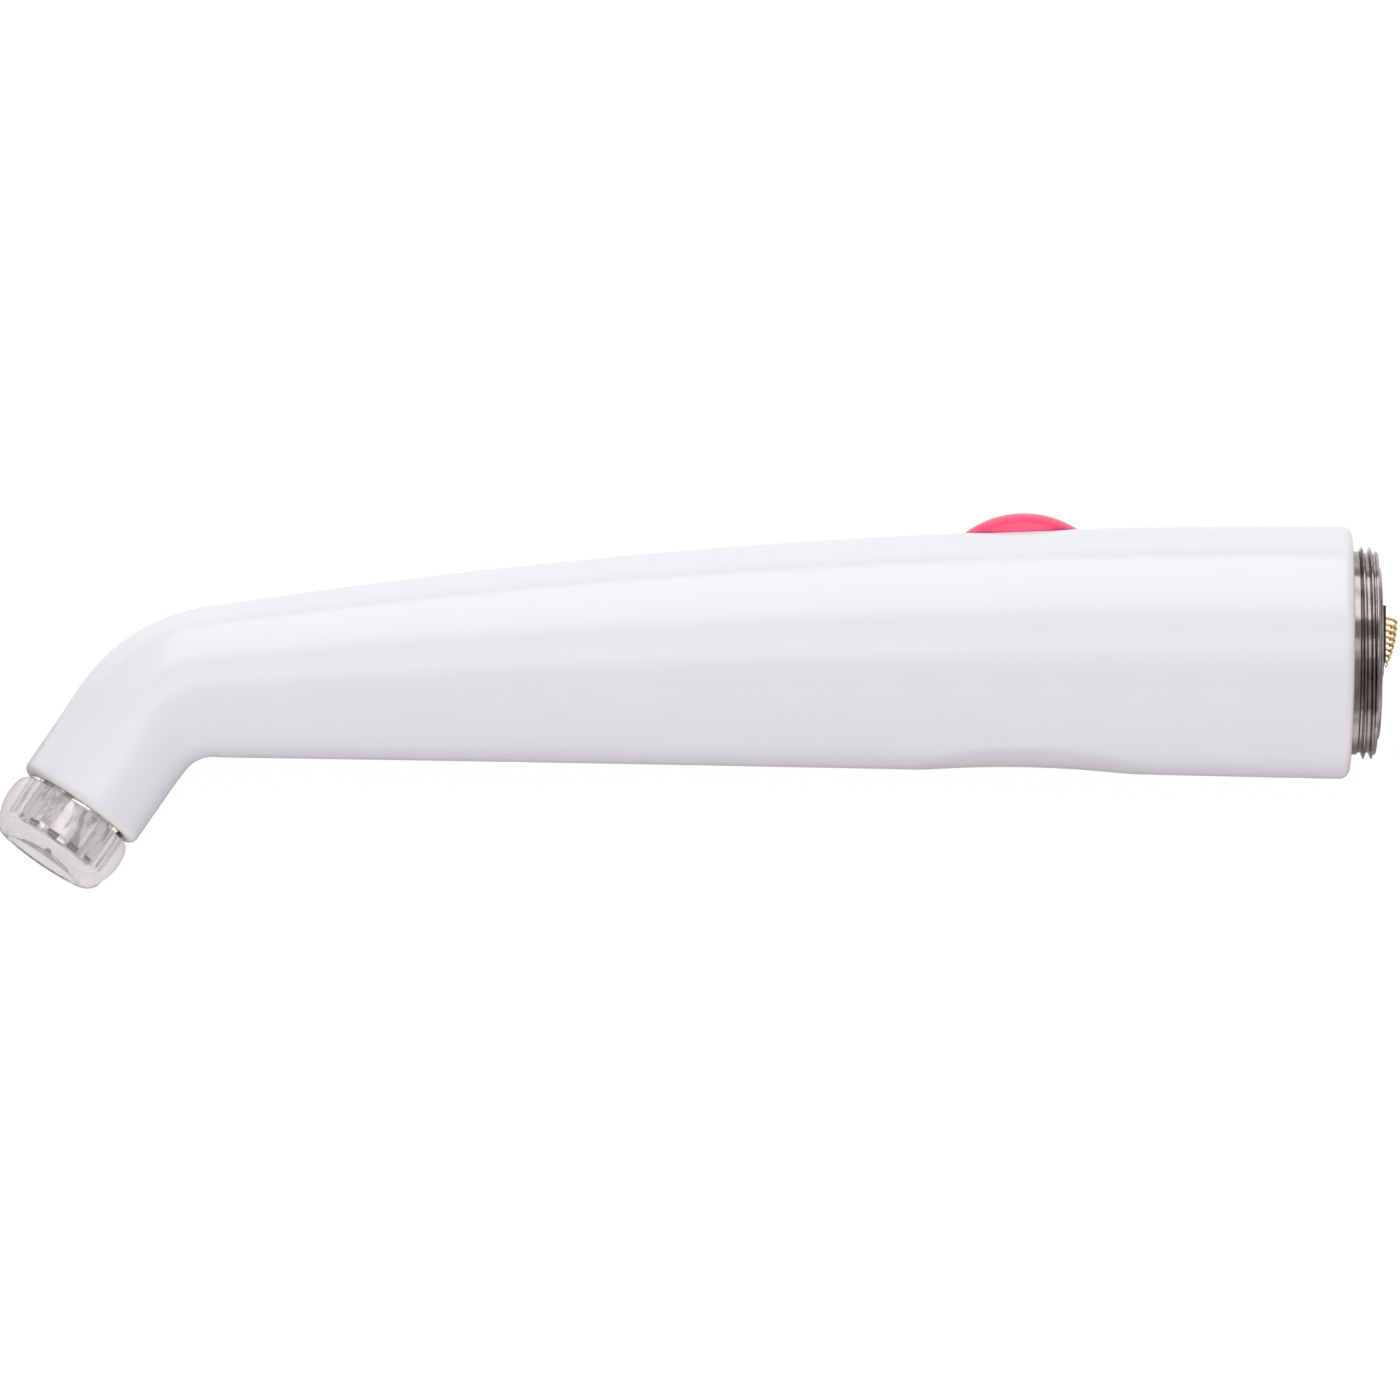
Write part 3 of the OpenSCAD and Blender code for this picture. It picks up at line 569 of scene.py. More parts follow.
@dataclass(frozen=True)
class CastSilicone:
    """Soft silicone with a dull bloom, a fine skin and a painted shade line round its foot.

    The foot is given as its distance from the housing's axis, the place of the button
    along the housing and the housing's own slope there.
    """

    name: str
    colour: Colour
    bloom_colour: Colour
    foot_shade_colour: Colour
    foot: tuple[float, float, float]

    def make(self) -> bpy.types.Material:
        """Builds the material."""
        recipe = Recipe(self.name)
        bloom = recipe.noise(1.5, 3)
        skin = recipe.noise(0.08, 2)
        colour = recipe.blend(bloom.above(0.4, 0.3) * 0.5, self.colour, self.bloom_colour)
        radius, place, slope = self.foot
        lift = recipe.y - LINE.at(place).y * MM
        reach = (lift * lift + recipe.z * recipe.z) ** 0.5
        height = reach - (recipe.x + (place + THREAD_MIDDLE) * MM) * slope - radius * MM
        # Painted shade: the button turns deep magenta just above the housing's skin, where the gap
        # would be in shadow.
        colour = recipe.blend(height.below(0.02 * MM, 0.1 * MM), colour, self.foot_shade_colour)
        return recipe.surface(
            Base_Color=colour,
            Roughness=0.24 + (bloom - 0.5) * 0.1,
            IOR=1.5,
            Normal=recipe.bump(skin, 0.003),
        )


@dataclass(frozen=True)
class ClearPolymer:
    """Clear plastic or glass, faintly tinted, with polishing haze."""

    name: str
    colour: Colour = (0.97, 0.98, 0.985)
    roughness: float = 0.03
    ior: float = 1.49
    ripple: float = 0.006
    clear: float = 1.0
    coat: float = 0.0

    def make(self) -> bpy.types.Material:
        """Builds the material."""
        recipe = Recipe(self.name)
        haze = recipe.noise(0.8, 3)
        tint = recipe.blend(haze.above(0.3, 0.4), self.colour, [0.96 * c for c in self.colour])
        return recipe.surface(
            Base_Color=tint,
            Roughness=self.roughness + haze.above(0.45, 0.3) * 0.03,
            IOR=self.ior,
            Transmission_Weight=self.clear,
            Coat_Weight=self.coat,
            Normal=recipe.bump(recipe.noise(1.2, 2), self.ripple),
        )


@dataclass(frozen=True)
class TurnedMetal:
    """Metal turned on a lathe: fine rings round an axis, dulled where hands and tools rub."""

    name: str
    colour: Colour
    worn: Colour
    roughness: float = 0.25
    rings: float = 0.12
    depth: float = 0.006
    axis: Colour = (1, 0, 0)
    patch: float = 2.5
    streak: float = 1.0
    fade: float = 0.3

    def make(self) -> bpy.types.Material:
        """Builds the material."""
        recipe = Recipe(self.name)
        along = recipe.x * self.axis[0] + recipe.y * self.axis[1] + recipe.z * self.axis[2]
        where = recipe.node("CombineXYZ", {0: along})
        rings = recipe.node(
            "Noise", {"Vector": where, "Scale": 1 / (self.rings * MM), "Detail": 4.0}
        )
        across = recipe.y * self.axis[0] - recipe.x * self.axis[1]
        place = recipe.node("CombineXYZ", {0: across, 1: recipe.z, 2: along * self.streak})
        patches = {"Vector": place, "Scale": 1 / (self.patch * MM), "Detail": 4.0, "Roughness": 0.6}
        stains = recipe.node("Noise", patches).above(0.5 - self.fade / 3, self.fade)
        return recipe.surface(
            Base_Color=recipe.blend(stains * 0.8, self.colour, self.worn),
            Metallic=1.0,
            Roughness=self.roughness + stains * 0.12 + (rings - 0.5) * 0.12,
            Normal=recipe.bump(rings, self.depth),
        )


@dataclass(frozen=True)
class PlatedMetal:
    """Stamped and plated metal with small dents and a rubbed shine."""

    name: str
    colour: Colour
    worn: Colour
    roughness: float = 0.22

    def make(self) -> bpy.types.Material:
        """Builds the material."""
        recipe = Recipe(self.name)
        rubbed = recipe.noise(0.7, 3).above(0.45, 0.2)
        fine = recipe.noise(0.09, 2)
        return recipe.surface(
            Base_Color=recipe.blend(rubbed * 0.7, self.colour, self.worn),
            Metallic=1.0,
            Roughness=self.roughness + rubbed * 0.12,
            Normal=recipe.bump(fine, 0.004),
        )


@dataclass(frozen=True)
class Rubber:
    """Black or coloured rubber with talc dust in its pores."""

    name: str
    colour: Colour
    dust: Colour = (0.12, 0.12, 0.12)

    def make(self) -> bpy.types.Material:
        """Builds the material."""
        recipe = Recipe(self.name)
        pores = recipe.noise(0.15, 3)
        return recipe.surface(
            Base_Color=recipe.blend(pores.above(0.55, 0.2) * 0.5, self.colour, self.dust),
            Roughness=0.6 + (pores - 0.5) * 0.2,
            Normal=recipe.bump(pores, 0.01),
        )


@dataclass(frozen=True)
class BoardLacquer:
    """Green solder lacquer over copper tracks, on glass cloth."""

    name: str
    ground: Colour = (0.008, 0.07, 0.03)
    track: Colour = (0.02, 0.16, 0.06)
    pitch: float = 1.1

    def make(self) -> bpy.types.Material:
        """Builds the material."""
        recipe = Recipe(self.name)
        lanes = recipe.node(
            "Voronoi",
            {"Vector": recipe.place, "Scale": 1 / (self.pitch * MM), "Randomness": 0.7},
            output="Distance",
            feature="F1",
            distance="CHEBYCHEV",
        )
        copper = lanes.below(0.32, 0.03)
        cloth = recipe.noise(0.25, 2, stretch=(4, 1, 1))
        return recipe.surface(
            Base_Color=recipe.blend(copper, self.ground, self.track),
            Roughness=0.32 + cloth * 0.1,
            Normal=recipe.bump(copper + cloth * 0.3, 0.02),
        )


@dataclass(frozen=True)
class FiredBody:
    """Ceramic, ferrite or moulded epoxy: matt, grainy and slightly uneven."""

    name: str
    colour: Colour
    fleck: Colour
    roughness: float = 0.5
    grain: float = 0.1

    def make(self) -> bpy.types.Material:
        """Builds the material."""
        recipe = Recipe(self.name)
        grain = recipe.noise(self.grain, 3)
        return recipe.surface(
            Base_Color=recipe.blend(grain.above(0.55, 0.2), self.colour, self.fleck),
            Roughness=self.roughness + (grain - 0.5) * 0.2,
            Normal=recipe.bump(grain, 0.01),
        )


# ---- Sub-assemblies ----


@dataclass(frozen=True)
class Housing:
    """The white housing with its finger rest, its button slot and its stepped bores."""

    rear_r: float = 12.65
    neck_r: float = 7.6
    head_r: float = 6.65
    taper_share: float = 0.14
    blend_len: float = 14
    wall: float = 1.7
    core_r: float = 9.4
    rear_round: float = 1
    rim_round: float = 0.8
    ring_bore_r: float = 10.25
    ring_bore_len: float = 9
    mouth_bevel: float = 0.55
    head_bore_r: float = 5.2
    head_bore_len: float = 5.4
    rest_x: float = 32.5
    rest_len: float = 23
    rest_span: float = 56
    rest_depth: float = 0.6
    button_x: float = 33
    slot_len: float = 11.9
    slot_w: float = 7.3
    lip_w: float = 1.2
    seat_y: float = 8.6
    sides: int = 112
    step: float = 1.15

    def skin(self, s: float) -> float:
        """Radius of the skin at distance s from the rear face."""
        slope = -(self.rear_r - self.neck_r) * (2 - self.taper_share) / LINE.grip_len
        if s <= LINE.grip_len:
            u = s / LINE.grip_len
            share = self.taper_share * u + (1 - self.taper_share) * u * u
            return self.rear_r - (self.rear_r - self.neck_r) * share
        if s <= LINE.grip_len + self.blend_len:
            v = (s - LINE.grip_len) / self.blend_len
            return (
                self.neck_r * (2 * v**3 - 3 * v**2 + 1)
                + slope * self.blend_len * (v**3 - 2 * v**2 + v)
                + self.head_r * (3 * v**2 - 2 * v**3)
            )
        return self.head_r

    def fall(self, s: float) -> float:
        """How far the skin falls in a millimetre at distance s."""
        return (self.skin(s - 1) - self.skin(s + 1)) / 2

    def core(self, s: float) -> float:
        """Radius of the space inside at distance s."""
        return min(self.core_r, self.skin(s) - self.wall)

    def outline(self) -> list[Point]:
        """Section of the wall: rear face, skin, head rim, bores and core."""
        end = LINE.full_len
        turns = [math.radians(a) for a in (0, 15, 30, 45, 60, 75, 90)]
        points = [(self.mouth_bevel, self.ring_bore_r), (0, self.ring_bore_r + self.mouth_bevel)]
        for a in turns:
            s = self.rear_round * (1 - math.cos(a))
            points.append((s, self.skin(s) - self.rear_round * (1 - math.sin(a))))
        last = end - self.rim_round
        count = round((last - self.rear_round) / self.step)
        for i in range(1, count):
            s = self.rear_round + (last - self.rear_round) * i / count
            points.append((s, self.skin(s)))
        for a in reversed(turns):
            s = end - self.rim_round * (1 - math.cos(a))
            points.append((s, self.head_r - self.rim_round * (1 - math.sin(a))))
        points += [(end, self.head_bore_r + 0.1), (end - 0.1, self.head_bore_r)]
        points.append((end - self.head_bore_len, self.head_bore_r))
        inner = end - self.head_bore_len
        steps = 36
        for i in range(steps + 1):
            s = inner + (self.ring_bore_len - inner) * i / steps
            points.append((s, self.core(s)))
        points.append((self.ring_bore_len, self.ring_bore_r))
        return points

    def press_rest(self, piece: Workpiece) -> None:
        """Presses the finger rest into the skin while the housing is still straight."""
        dish = piece.body.vertex_groups.new(name="rest")
        for vertex in piece.body.data.vertices:
            s, across, down = vertex.co.x, vertex.co.y, vertex.co.z
            along = (s - self.rest_x) / (self.rest_len / 2)
            turn = math.degrees(math.atan2(down, across)) / (self.rest_span / 2)
            depth = 1 - along**2 - turn**2
            if depth > 0 and math.hypot(across, down) > self.skin(s) - 0.2:
                dish.add([vertex.index], depth, "REPLACE")
        piece.modify(
            "DISPLACE",
            vertex_group="rest",
            strength=-self.rest_depth,
            mid_level=0,
            direction="NORMAL",
        )

    def bend(self, piece: Workpiece) -> None:
        """Bends the straight housing along its centreline."""
        Workpiece.clear()
        bpy.ops.curve.primitive_nurbs_path_add()
        path = bpy.context.object
        path.data.splines.clear()
        spline = path.data.splines.new("POLY")
        places = [LINE.grip_len * i / 100 for i in range(100)]
        rest = LINE.full_len + 2 - LINE.grip_len
        places += [LINE.grip_len + rest * i / 120 for i in range(121)]
        spline.points.add(len(places) - 1)
        for point, s in zip(spline.points, places):
            point.co = (*LINE.at(s), 1)
        path.data.dimensions = "3D"
        path.data.twist_mode = "Z_UP"
        piece.modify("CURVE", object=path, deform_axis="POS_X")
        bpy.data.objects.remove(path, do_unlink=True)

    def slot_tool(self, name: str, extra: float, low: float, high: float) -> Workpiece:
        """A slot-shaped tool that stands over the button's place."""
        tool = stadium(name, self.slot_len + extra, self.slot_w + extra, 16)
        with tool.editing():
            bpy.ops.mesh.edge_face_add()
            bpy.ops.transform.translate(value=(0, 0, low))
            tool.extrude(z=high - low)
        tool.close()
        tool.move(Matrix.Translation((-self.button_x, 0, 0)) @ TO_BUTTON)
        return tool

    def build(self, look: bpy.types.Material) -> None:
        """Models and dresses the housing."""
        piece = Workpiece.turned("housing_shell", self.outline(), self.sides)
        piece.move(ALONG_X)
        self.press_rest(piece)
        self.bend(piece)
        piece.cut(self.slot_tool("lip_pocket", 2 * self.lip_w, 5.6, self.seat_y))
        piece.cut(self.slot_tool("button_slot", 0, 5.0, self.rear_r + 1))
        piece.finish("housing_plastic", look, ["housing"], sharp=40)


def stadium(name: str, length: float, width: float, cuts: int) -> Workpiece:
    """A slot outline as a loop of edges in the xy plane.

    Args:
        name: Name of the piece.
        length: Length along x.
        width: Width along y.
        cuts: Cuts in each straight side.

    Returns:
        The outline, with nothing filled.
    """
    piece = Workpiece.circle(name, width / 2, 64)
    shift = (length - width) / 2
    with piece.editing():
        for side in (-1, 1):
            piece.pick("verts", lambda place, _: place.x * side > 0)
            bpy.ops.transform.translate(value=(side * shift, 0, 0))
        piece.pick("edges", lambda place, along: abs(place.x) < 0.01 and abs(along.x) > 0.99)
        if cuts:
            bpy.ops.mesh.subdivide(number_cuts=cuts)
    return piece


@dataclass(frozen=True)
class PressButton:
    """The silicone button: a crowned slot shape with a lip and a stem."""

    x: float = 33
    length: float = 11.6
    width: float = 7
    arc_r: float = 9.85
    side_r: float = 4.2
    crown_h: float = 1.95
    lip_top: float = 8.5
    lip_t: float = 0.8
    lip_len: float = 14.0
    lip_w: float = 9.4
    stem_r: float = 1.6
    plunger_top: float = 6.9
    ring: float = 0.42
    rings: int = 8
    skirt: float = 0.5
    edge_round: float = 0.12

    def crown_form(self, top: float, slope: float) -> Workpiece:
        """The spindle whose upper side gives the crown its shape."""
        reach = math.sqrt(self.arc_r**2 - (self.arc_r - self.side_r) ** 2)
        steps = 48
        outline = []
        for i in range(steps + 1):
            x = -reach + 2 * reach * i / steps
            outline.append((x, max(0, self.side_r - self.arc_r + math.sqrt(self.arc_r**2 - x * x))))
        form = Workpiece.turned("crown_form", outline, 128, closed=False)
        form.move(
            Matrix.Translation((0, 0, top - self.side_r))
            @ Matrix.Rotation(math.radians(-slope), 4, "Y")
            @ ALONG_X
        )
        return form

    def build(self, housing: Housing, look: bpy.types.Material) -> None:
        """Models and dresses the button.

        Args:
            housing: The housing, whose skin the crown stands over.
            look: The button's material.
        """
        top = LINE.at(self.x).y + housing.skin(self.x) + self.crown_h
        slope = LINE.turn(self.x) + math.degrees(math.atan(housing.fall(self.x)))
        form = self.crown_form(top, slope)
        piece = stadium("press_button", self.length, self.width, 11)
        with piece.editing():
            bpy.ops.mesh.edge_face_add()
            for _ in range(self.rings):
                bpy.ops.mesh.inset(thickness=self.ring)
            bpy.ops.mesh.select_all(action="SELECT")
            bpy.ops.transform.translate(value=(0, 0, top + 2))
        piece.modify(
            "SHRINKWRAP",
            target=form.body,
            wrap_method="PROJECT",
            use_project_z=True,
            use_negative_direction=True,
            use_positive_direction=False,
        )
        form.drop()
        with piece.editing():
            bpy.ops.mesh.region_to_loop()
            piece.extrude(z=-self.skirt)
            middle = (0, 0, self.lip_top)
            bpy.ops.transform.resize(value=(1, 1, 0), center_override=middle)
            wider = (self.lip_len / self.length, self.lip_w / self.width, 1)
            piece.extrude()
            bpy.ops.transform.resize(value=wider, center_override=middle)
            piece.extrude(z=-self.lip_t)
            narrower = (2 * self.stem_r / self.lip_len, 2 * self.stem_r / self.lip_w, 1)
            piece.extrude()
            bpy.ops.transform.resize(value=narrower, center_override=middle)
            piece.extrude(z=self.plunger_top - self.lip_top + self.lip_t)
            bpy.ops.mesh.edge_face_add()
        piece.close()
        piece.soften(self.edge_round, 40, 4)
        place = Matrix.Translation((-self.x, 0, 0)) @ TO_BUTTON
        piece.finish("button_plastic", look, ["button"], place, Body.BUTTON, sharp=50)


@dataclass(frozen=True)
class LensCap:
    """The clear cap over the light: a thick turned cup with a recessed window."""

    start: float = 0.45
    radius: float = 6.64
    rear_r: float = 5.9
    waist: float = 2.1
    length: float = 5.94
    front_r: float = 4.5
    shoulder_slope: float = 0.8
    shoulder_in: float = 0.45
    bore_r: float = 4.48
    window_r: float = 3.9
    window_depth: float = 0.9
    window_t: float = 0.9
    ribs: int = 16
    rib_w: float = 0.22
    rib_depth: float = 0.25
    rib_len: float = 3.4
    first_rib: float = 0.3
    steps: int = 10

    def outline(self) -> list[Point]:
        """Section of the cap from its bore round its outside to the middle of its window."""
        shoulder_z = self.length - (self.radius - self.front_r) * self.shoulder_slope
        shoulder_r = self.radius - self.shoulder_in
        floor = self.length - self.window_depth
        bore_end = floor - self.window_t
        points = [(bore_end, 0.0), (bore_end, self.bore_r - 0.2), (bore_end - 0.2, self.bore_r)]
        points.append((0, self.bore_r))
        for k in range(self.steps + 1):
            a = math.pi / 2 * k / self.steps
            gain = (self.radius - self.rear_r) * math.sin(a)
            points.append((self.waist * (1 - math.cos(a)), self.rear_r + gain))
        for k in range(1, self.steps + 1):
            u = k / self.steps
            z = self.waist + (shoulder_z - self.waist) * u
            points.append((z, self.radius - (self.radius - shoulder_r) * u * u))
        for k in range(1, self.steps + 1):
            a = math.pi / 2 * k / self.steps
            z = shoulder_z + (self.length - shoulder_z) * math.sin(a)
            points.append((z, self.front_r + (shoulder_r - self.front_r) * math.cos(a)))
        points += [(self.length, self.window_r + 0.3), (self.length - 0.06, self.window_r + 0.2)]
        points += [(floor + 0.1, self.window_r - 0.27), (floor, self.window_r - 0.4)]
        points.append((floor, 0))
        return points

    def build(self, look: bpy.types.Material) -> None:
        """Models and dresses the cap."""
        piece = Workpiece.turned("clear_cap", self.outline(), 128, closed=False)
        high = (self.bore_r + self.rib_depth, self.rib_w / 2, self.rib_len)
        groove = Workpiece.block("groove", (4, -self.rib_w / 2, -1), high)
        piece.cut_round(groove, self.ribs, self.first_rib)
        place = AT_RIM @ Matrix.Translation((0, 0, self.start))
        piece.finish("clear_plastic", look, ["lens_cap"], place, Body.CAP)


@dataclass(frozen=True)
class LightBarrel:
    """The metal barrel in the head, its notched retaining ring and its lens."""

    seat_r: float = 5.15
    depth: float = 5.4
    flange_r: float = 5.7
    flange_t: float = 0.4
    radius: float = 4.4
    bore_r: float = 3.6
    length: float = 3.3
    step_r: float = 4.55
    step_z: float = -4.4
    groove_z: float = -1.6
    groove_t: float = 1.0
    groove_r: float = 4.35
    ring_h: float = 0.7
    ring_bore_r: float = 3.2
    ring_wall: float = 0.35
    notches: int = 12
    lens_r: float = 3.55
    lens_start: float = -0.35
    dome_h: float = 0.9
    dome_r: float = 3.15
    tab_w: float = 0.9
    tab_angle: float = -67

    @property
    def end(self) -> float:
        """Where the barrel ends in front of the housing's rim."""
        return self.flange_t + self.length

    @property
    def notch_w(self) -> float:
        """Width of a notch, as wide as the tooth beside it."""
        return math.pi * self.radius / self.notches

    def barrel(self) -> Workpiece:
        """The turned barrel with its flange and the groove for its seal."""
        outline = rounded(
            [
                (-self.depth, self.step_r, 0),
                (-self.depth, self.seat_r, 0.1),
                (self.groove_z - self.groove_t / 2, self.seat_r, 0.05),
                (self.groove_z - self.groove_t / 2, self.groove_r, 0),
                (self.groove_z + self.groove_t / 2, self.groove_r, 0),
                (self.groove_z + self.groove_t / 2, self.seat_r, 0.05),
                (0, self.seat_r, 0),
                (0, self.flange_r, 0.08),
                (self.flange_t, self.flange_r, 0.1),
                (self.flange_t, self.radius, 0.12),
                (self.end, self.radius, 0.12),
                (self.end, self.bore_r, 0.06),
                (self.step_z, self.bore_r, 0),
                (self.step_z, self.step_r, 0),
            ]
        )
        return Workpiece.turned("light_barrel_body", outline, 112)

    def retainer(self) -> Workpiece:
        """The retaining ring with notches for its key."""
        high = self.end + self.ring_h
        ring = Workpiece.turned(
            "notched_ring",
            rounded(
                [
                    (self.end, self.radius, 0),
                    (high, self.radius, 0.1),
                    (high, self.ring_bore_r, 0.1),
                    (self.end, self.ring_bore_r, 0),
                ]
            ),
            96,
        )
        half = self.notch_w / 2
        low = (self.ring_bore_r + self.ring_wall, -half, high - self.ring_h / 2)
        notch = Workpiece.block("notch", low, (6, half, high + 1))
        ring.cut_round(notch, self.notches)
        ring.soften(0.05, 40, 2)
        return ring

    def shade_sleeve(self) -> Workpiece:
        """A dark sleeve behind the ring's notches, painted shade that makes them look deep."""
        wall = self.ring_bore_r + self.ring_wall
        low, high = self.end + self.ring_h / 2, self.end + self.ring_h - 0.03
        outline = [(low, wall - 0.05), (low, wall + 0.04), (high, wall + 0.04), (high, wall - 0.05)]
        return Workpiece.turned("ring_shade_sleeve", outline, 96)

    def shade_marks(self) -> Workpiece:
        """Painted shade under the ring's notches, which makes them look full height."""
        low, high = self.end + 0.04, self.end + self.ring_h / 2
        inner, outer = self.radius - 0.1, self.radius + 0.012
        outline = [(low, inner), (low, outer), (high, outer), (high, inner)]
        band = Workpiece.turned("notch_shade_marks", outline, 192)
        half = self.notch_w / 2
        gap = Workpiece.block("mark_gap", (inner - 1, -half, low - 1), (outer + 1, half, high + 1))
        band.cut_round(gap, self.notches, 0.5)
        return band

    def tab(self) -> Workpiece:
        """The dark key of the flange, which locates the cap."""
        low = (self.seat_r, -self.tab_w / 2, 0.02)
        high = (self.flange_r + 0.15, self.tab_w / 2, self.flange_t + 0.02)
        tab = Workpiece.block("flange_key", low, high)
        tab.soften(0.05, 40, 2)
        tab.move(Matrix.Rotation(math.radians(self.tab_angle), 4, "Z"))
        return tab

    def lens(self) -> Workpiece:
        """The domed lens in the barrel's mouth."""
        ball_r = (self.dome_r**2 + self.dome_h**2) / (2 * self.dome_h)
        outline = [(self.lens_start, 0), (self.lens_start, self.lens_r - 0.1)]
        outline += [(self.lens_start + 0.1, self.lens_r), (self.end, self.lens_r)]
        widest = math.asin(self.dome_r / ball_r)
        for k in range(13):
            a = widest * (1 - k / 12)
            z = self.end + self.dome_h - ball_r + ball_r * math.cos(a)
            outline.append((z, ball_r * math.sin(a)))
        return Workpiece.turned("domed_lens", outline, 96, closed=False)

    def build(
        self, metal: bpy.types.Material, dark: bpy.types.Material, glass: bpy.types.Material
    ) -> None:
        """Models and dresses the barrel, its ring, its key and its lens."""
        self.barrel().finish("bright_metal", metal, ["light_barrel"], AT_RIM)
        self.retainer().finish("bright_metal", metal, ["lens_retainer"], AT_RIM)
        # The dark sleeve and the dark band under the notches are painted shade; they make the
        # notches look deep.
        for trim in (self.shade_sleeve, self.shade_marks, self.tab):
            trim().finish("black_plastic", dark, place=AT_RIM)
        self.lens().finish("lens_glass", glass, ["collimator_lens"], AT_RIM, sharp=50)


@dataclass(frozen=True)
class CouplingRing:
    """The nickelled ring with its right-handed thread, its collar and its pilot."""

    depth: float = 9
    spigot_r: float = 10.2
    neck_len: float = 0.7
    root_r: float = 10
    crest_r: float = 10.6
    pitch: float = 0.8
    land: float = 0.12
    thread_end: float = 2.3
    collar_end: float = 2.6
    pilot_r: float = 8.75
    pilot_end: float = 2.95
    bore_r: float = 7.5
    groove_x: float = -4
    groove_t: float = 1.0
    groove_r: float = 9.4
    first_crest: float = 0.74
    turns: float = 1.9
    sunk: float = 0.15
    runout: int = 14

    def ring(self) -> Workpiece:
        """The ring without its thread."""
        outline = rounded(
            [
                (-self.depth, self.bore_r, 0.1),
                (-self.depth, self.spigot_r, 0.2),
                (self.groove_x - self.groove_t / 2, self.spigot_r, 0),
                (self.groove_x - self.groove_t / 2, self.groove_r, 0),
                (self.groove_x + self.groove_t / 2, self.groove_r, 0),
                (self.groove_x + self.groove_t / 2, self.spigot_r, 0),
                (self.neck_len - 0.05, self.spigot_r, 0.05),
                (self.neck_len + 0.1, self.root_r, 0.05),
                (self.thread_end - 0.05, self.root_r, 0.04),
                (self.thread_end, self.spigot_r, 0.05),
                (self.collar_end, self.spigot_r, 0.15),
                (self.collar_end, self.pilot_r, 0.06),
                (self.pilot_end, self.pilot_r, 0.35),
                (self.pilot_end, self.bore_r, 0.08),
            ]
        )
        return Workpiece.turned("thread_ring", outline, 144)

    def thread(self) -> Workpiece:
        """The helical ridge, sunk a little into the ring and faded out at both ends."""
        sunk_r = self.root_r - self.sunk
        flank = (self.pitch / 2 - 1.5 * self.land) / (self.crest_r - self.root_r)
        foot = self.land / 2 + flank * (self.crest_r - self.root_r + self.sunk)
        profile = [
            (self.first_crest - foot, sunk_r),
            (self.first_crest - self.land / 2, self.crest_r),
            (self.first_crest + self.land / 2, self.crest_r),
            (self.first_crest + foot, sunk_r),
        ]
        ridge = Workpiece.chain("thread_ridge", profile)
        steps = round(120 * self.turns)
        rise = self.pitch * self.turns
        ridge.modify(
            "SCREW",
            angle=math.tau * self.turns,
            screw_offset=rise,
            iterations=1,
            steps=steps,
            render_steps=steps,
            use_merge_vertices=False,
        )
        with ridge.editing():
            mesh = bmesh.from_edit_mesh(ridge.body.data)
            mesh.verts.ensure_lookup_table()
            per_ring = len(profile)
            rings = len(mesh.verts) // per_ring
            for k in range(self.runout):
                low = sunk_r / self.crest_r
                share = low + (1 - low) * math.sin(math.pi / 2 * k / self.runout)
                for ring in (k, rings - 1 - k):
                    bpy.ops.mesh.select_all(action="DESELECT")
                    mesh = bmesh.from_edit_mesh(ridge.body.data)
                    mesh.verts.ensure_lookup_table()
                    for vertex in mesh.verts[ring * per_ring : (ring + 1) * per_ring]:
                        if math.hypot(vertex.co.x, vertex.co.y) > self.root_r:
                            vertex.select_set(True)
                    bmesh.update_edit_mesh(ridge.body.data)
                    bpy.ops.transform.resize(value=(share, share, 1), center_override=(0, 0, 0))
            bpy.ops.mesh.select_all(action="DESELECT")
            bpy.ops.mesh.select_non_manifold()
            bpy.ops.mesh.edge_face_add()
        ridge.close()
        return ridge

    def build(self, look: bpy.types.Material) -> None:
        """Models and dresses the ring."""
        ring = self.ring()
        ring.cut(self.thread(), "UNION")
        ring.finish("nickel", look, ["coupling_ring"], ALONG_X)


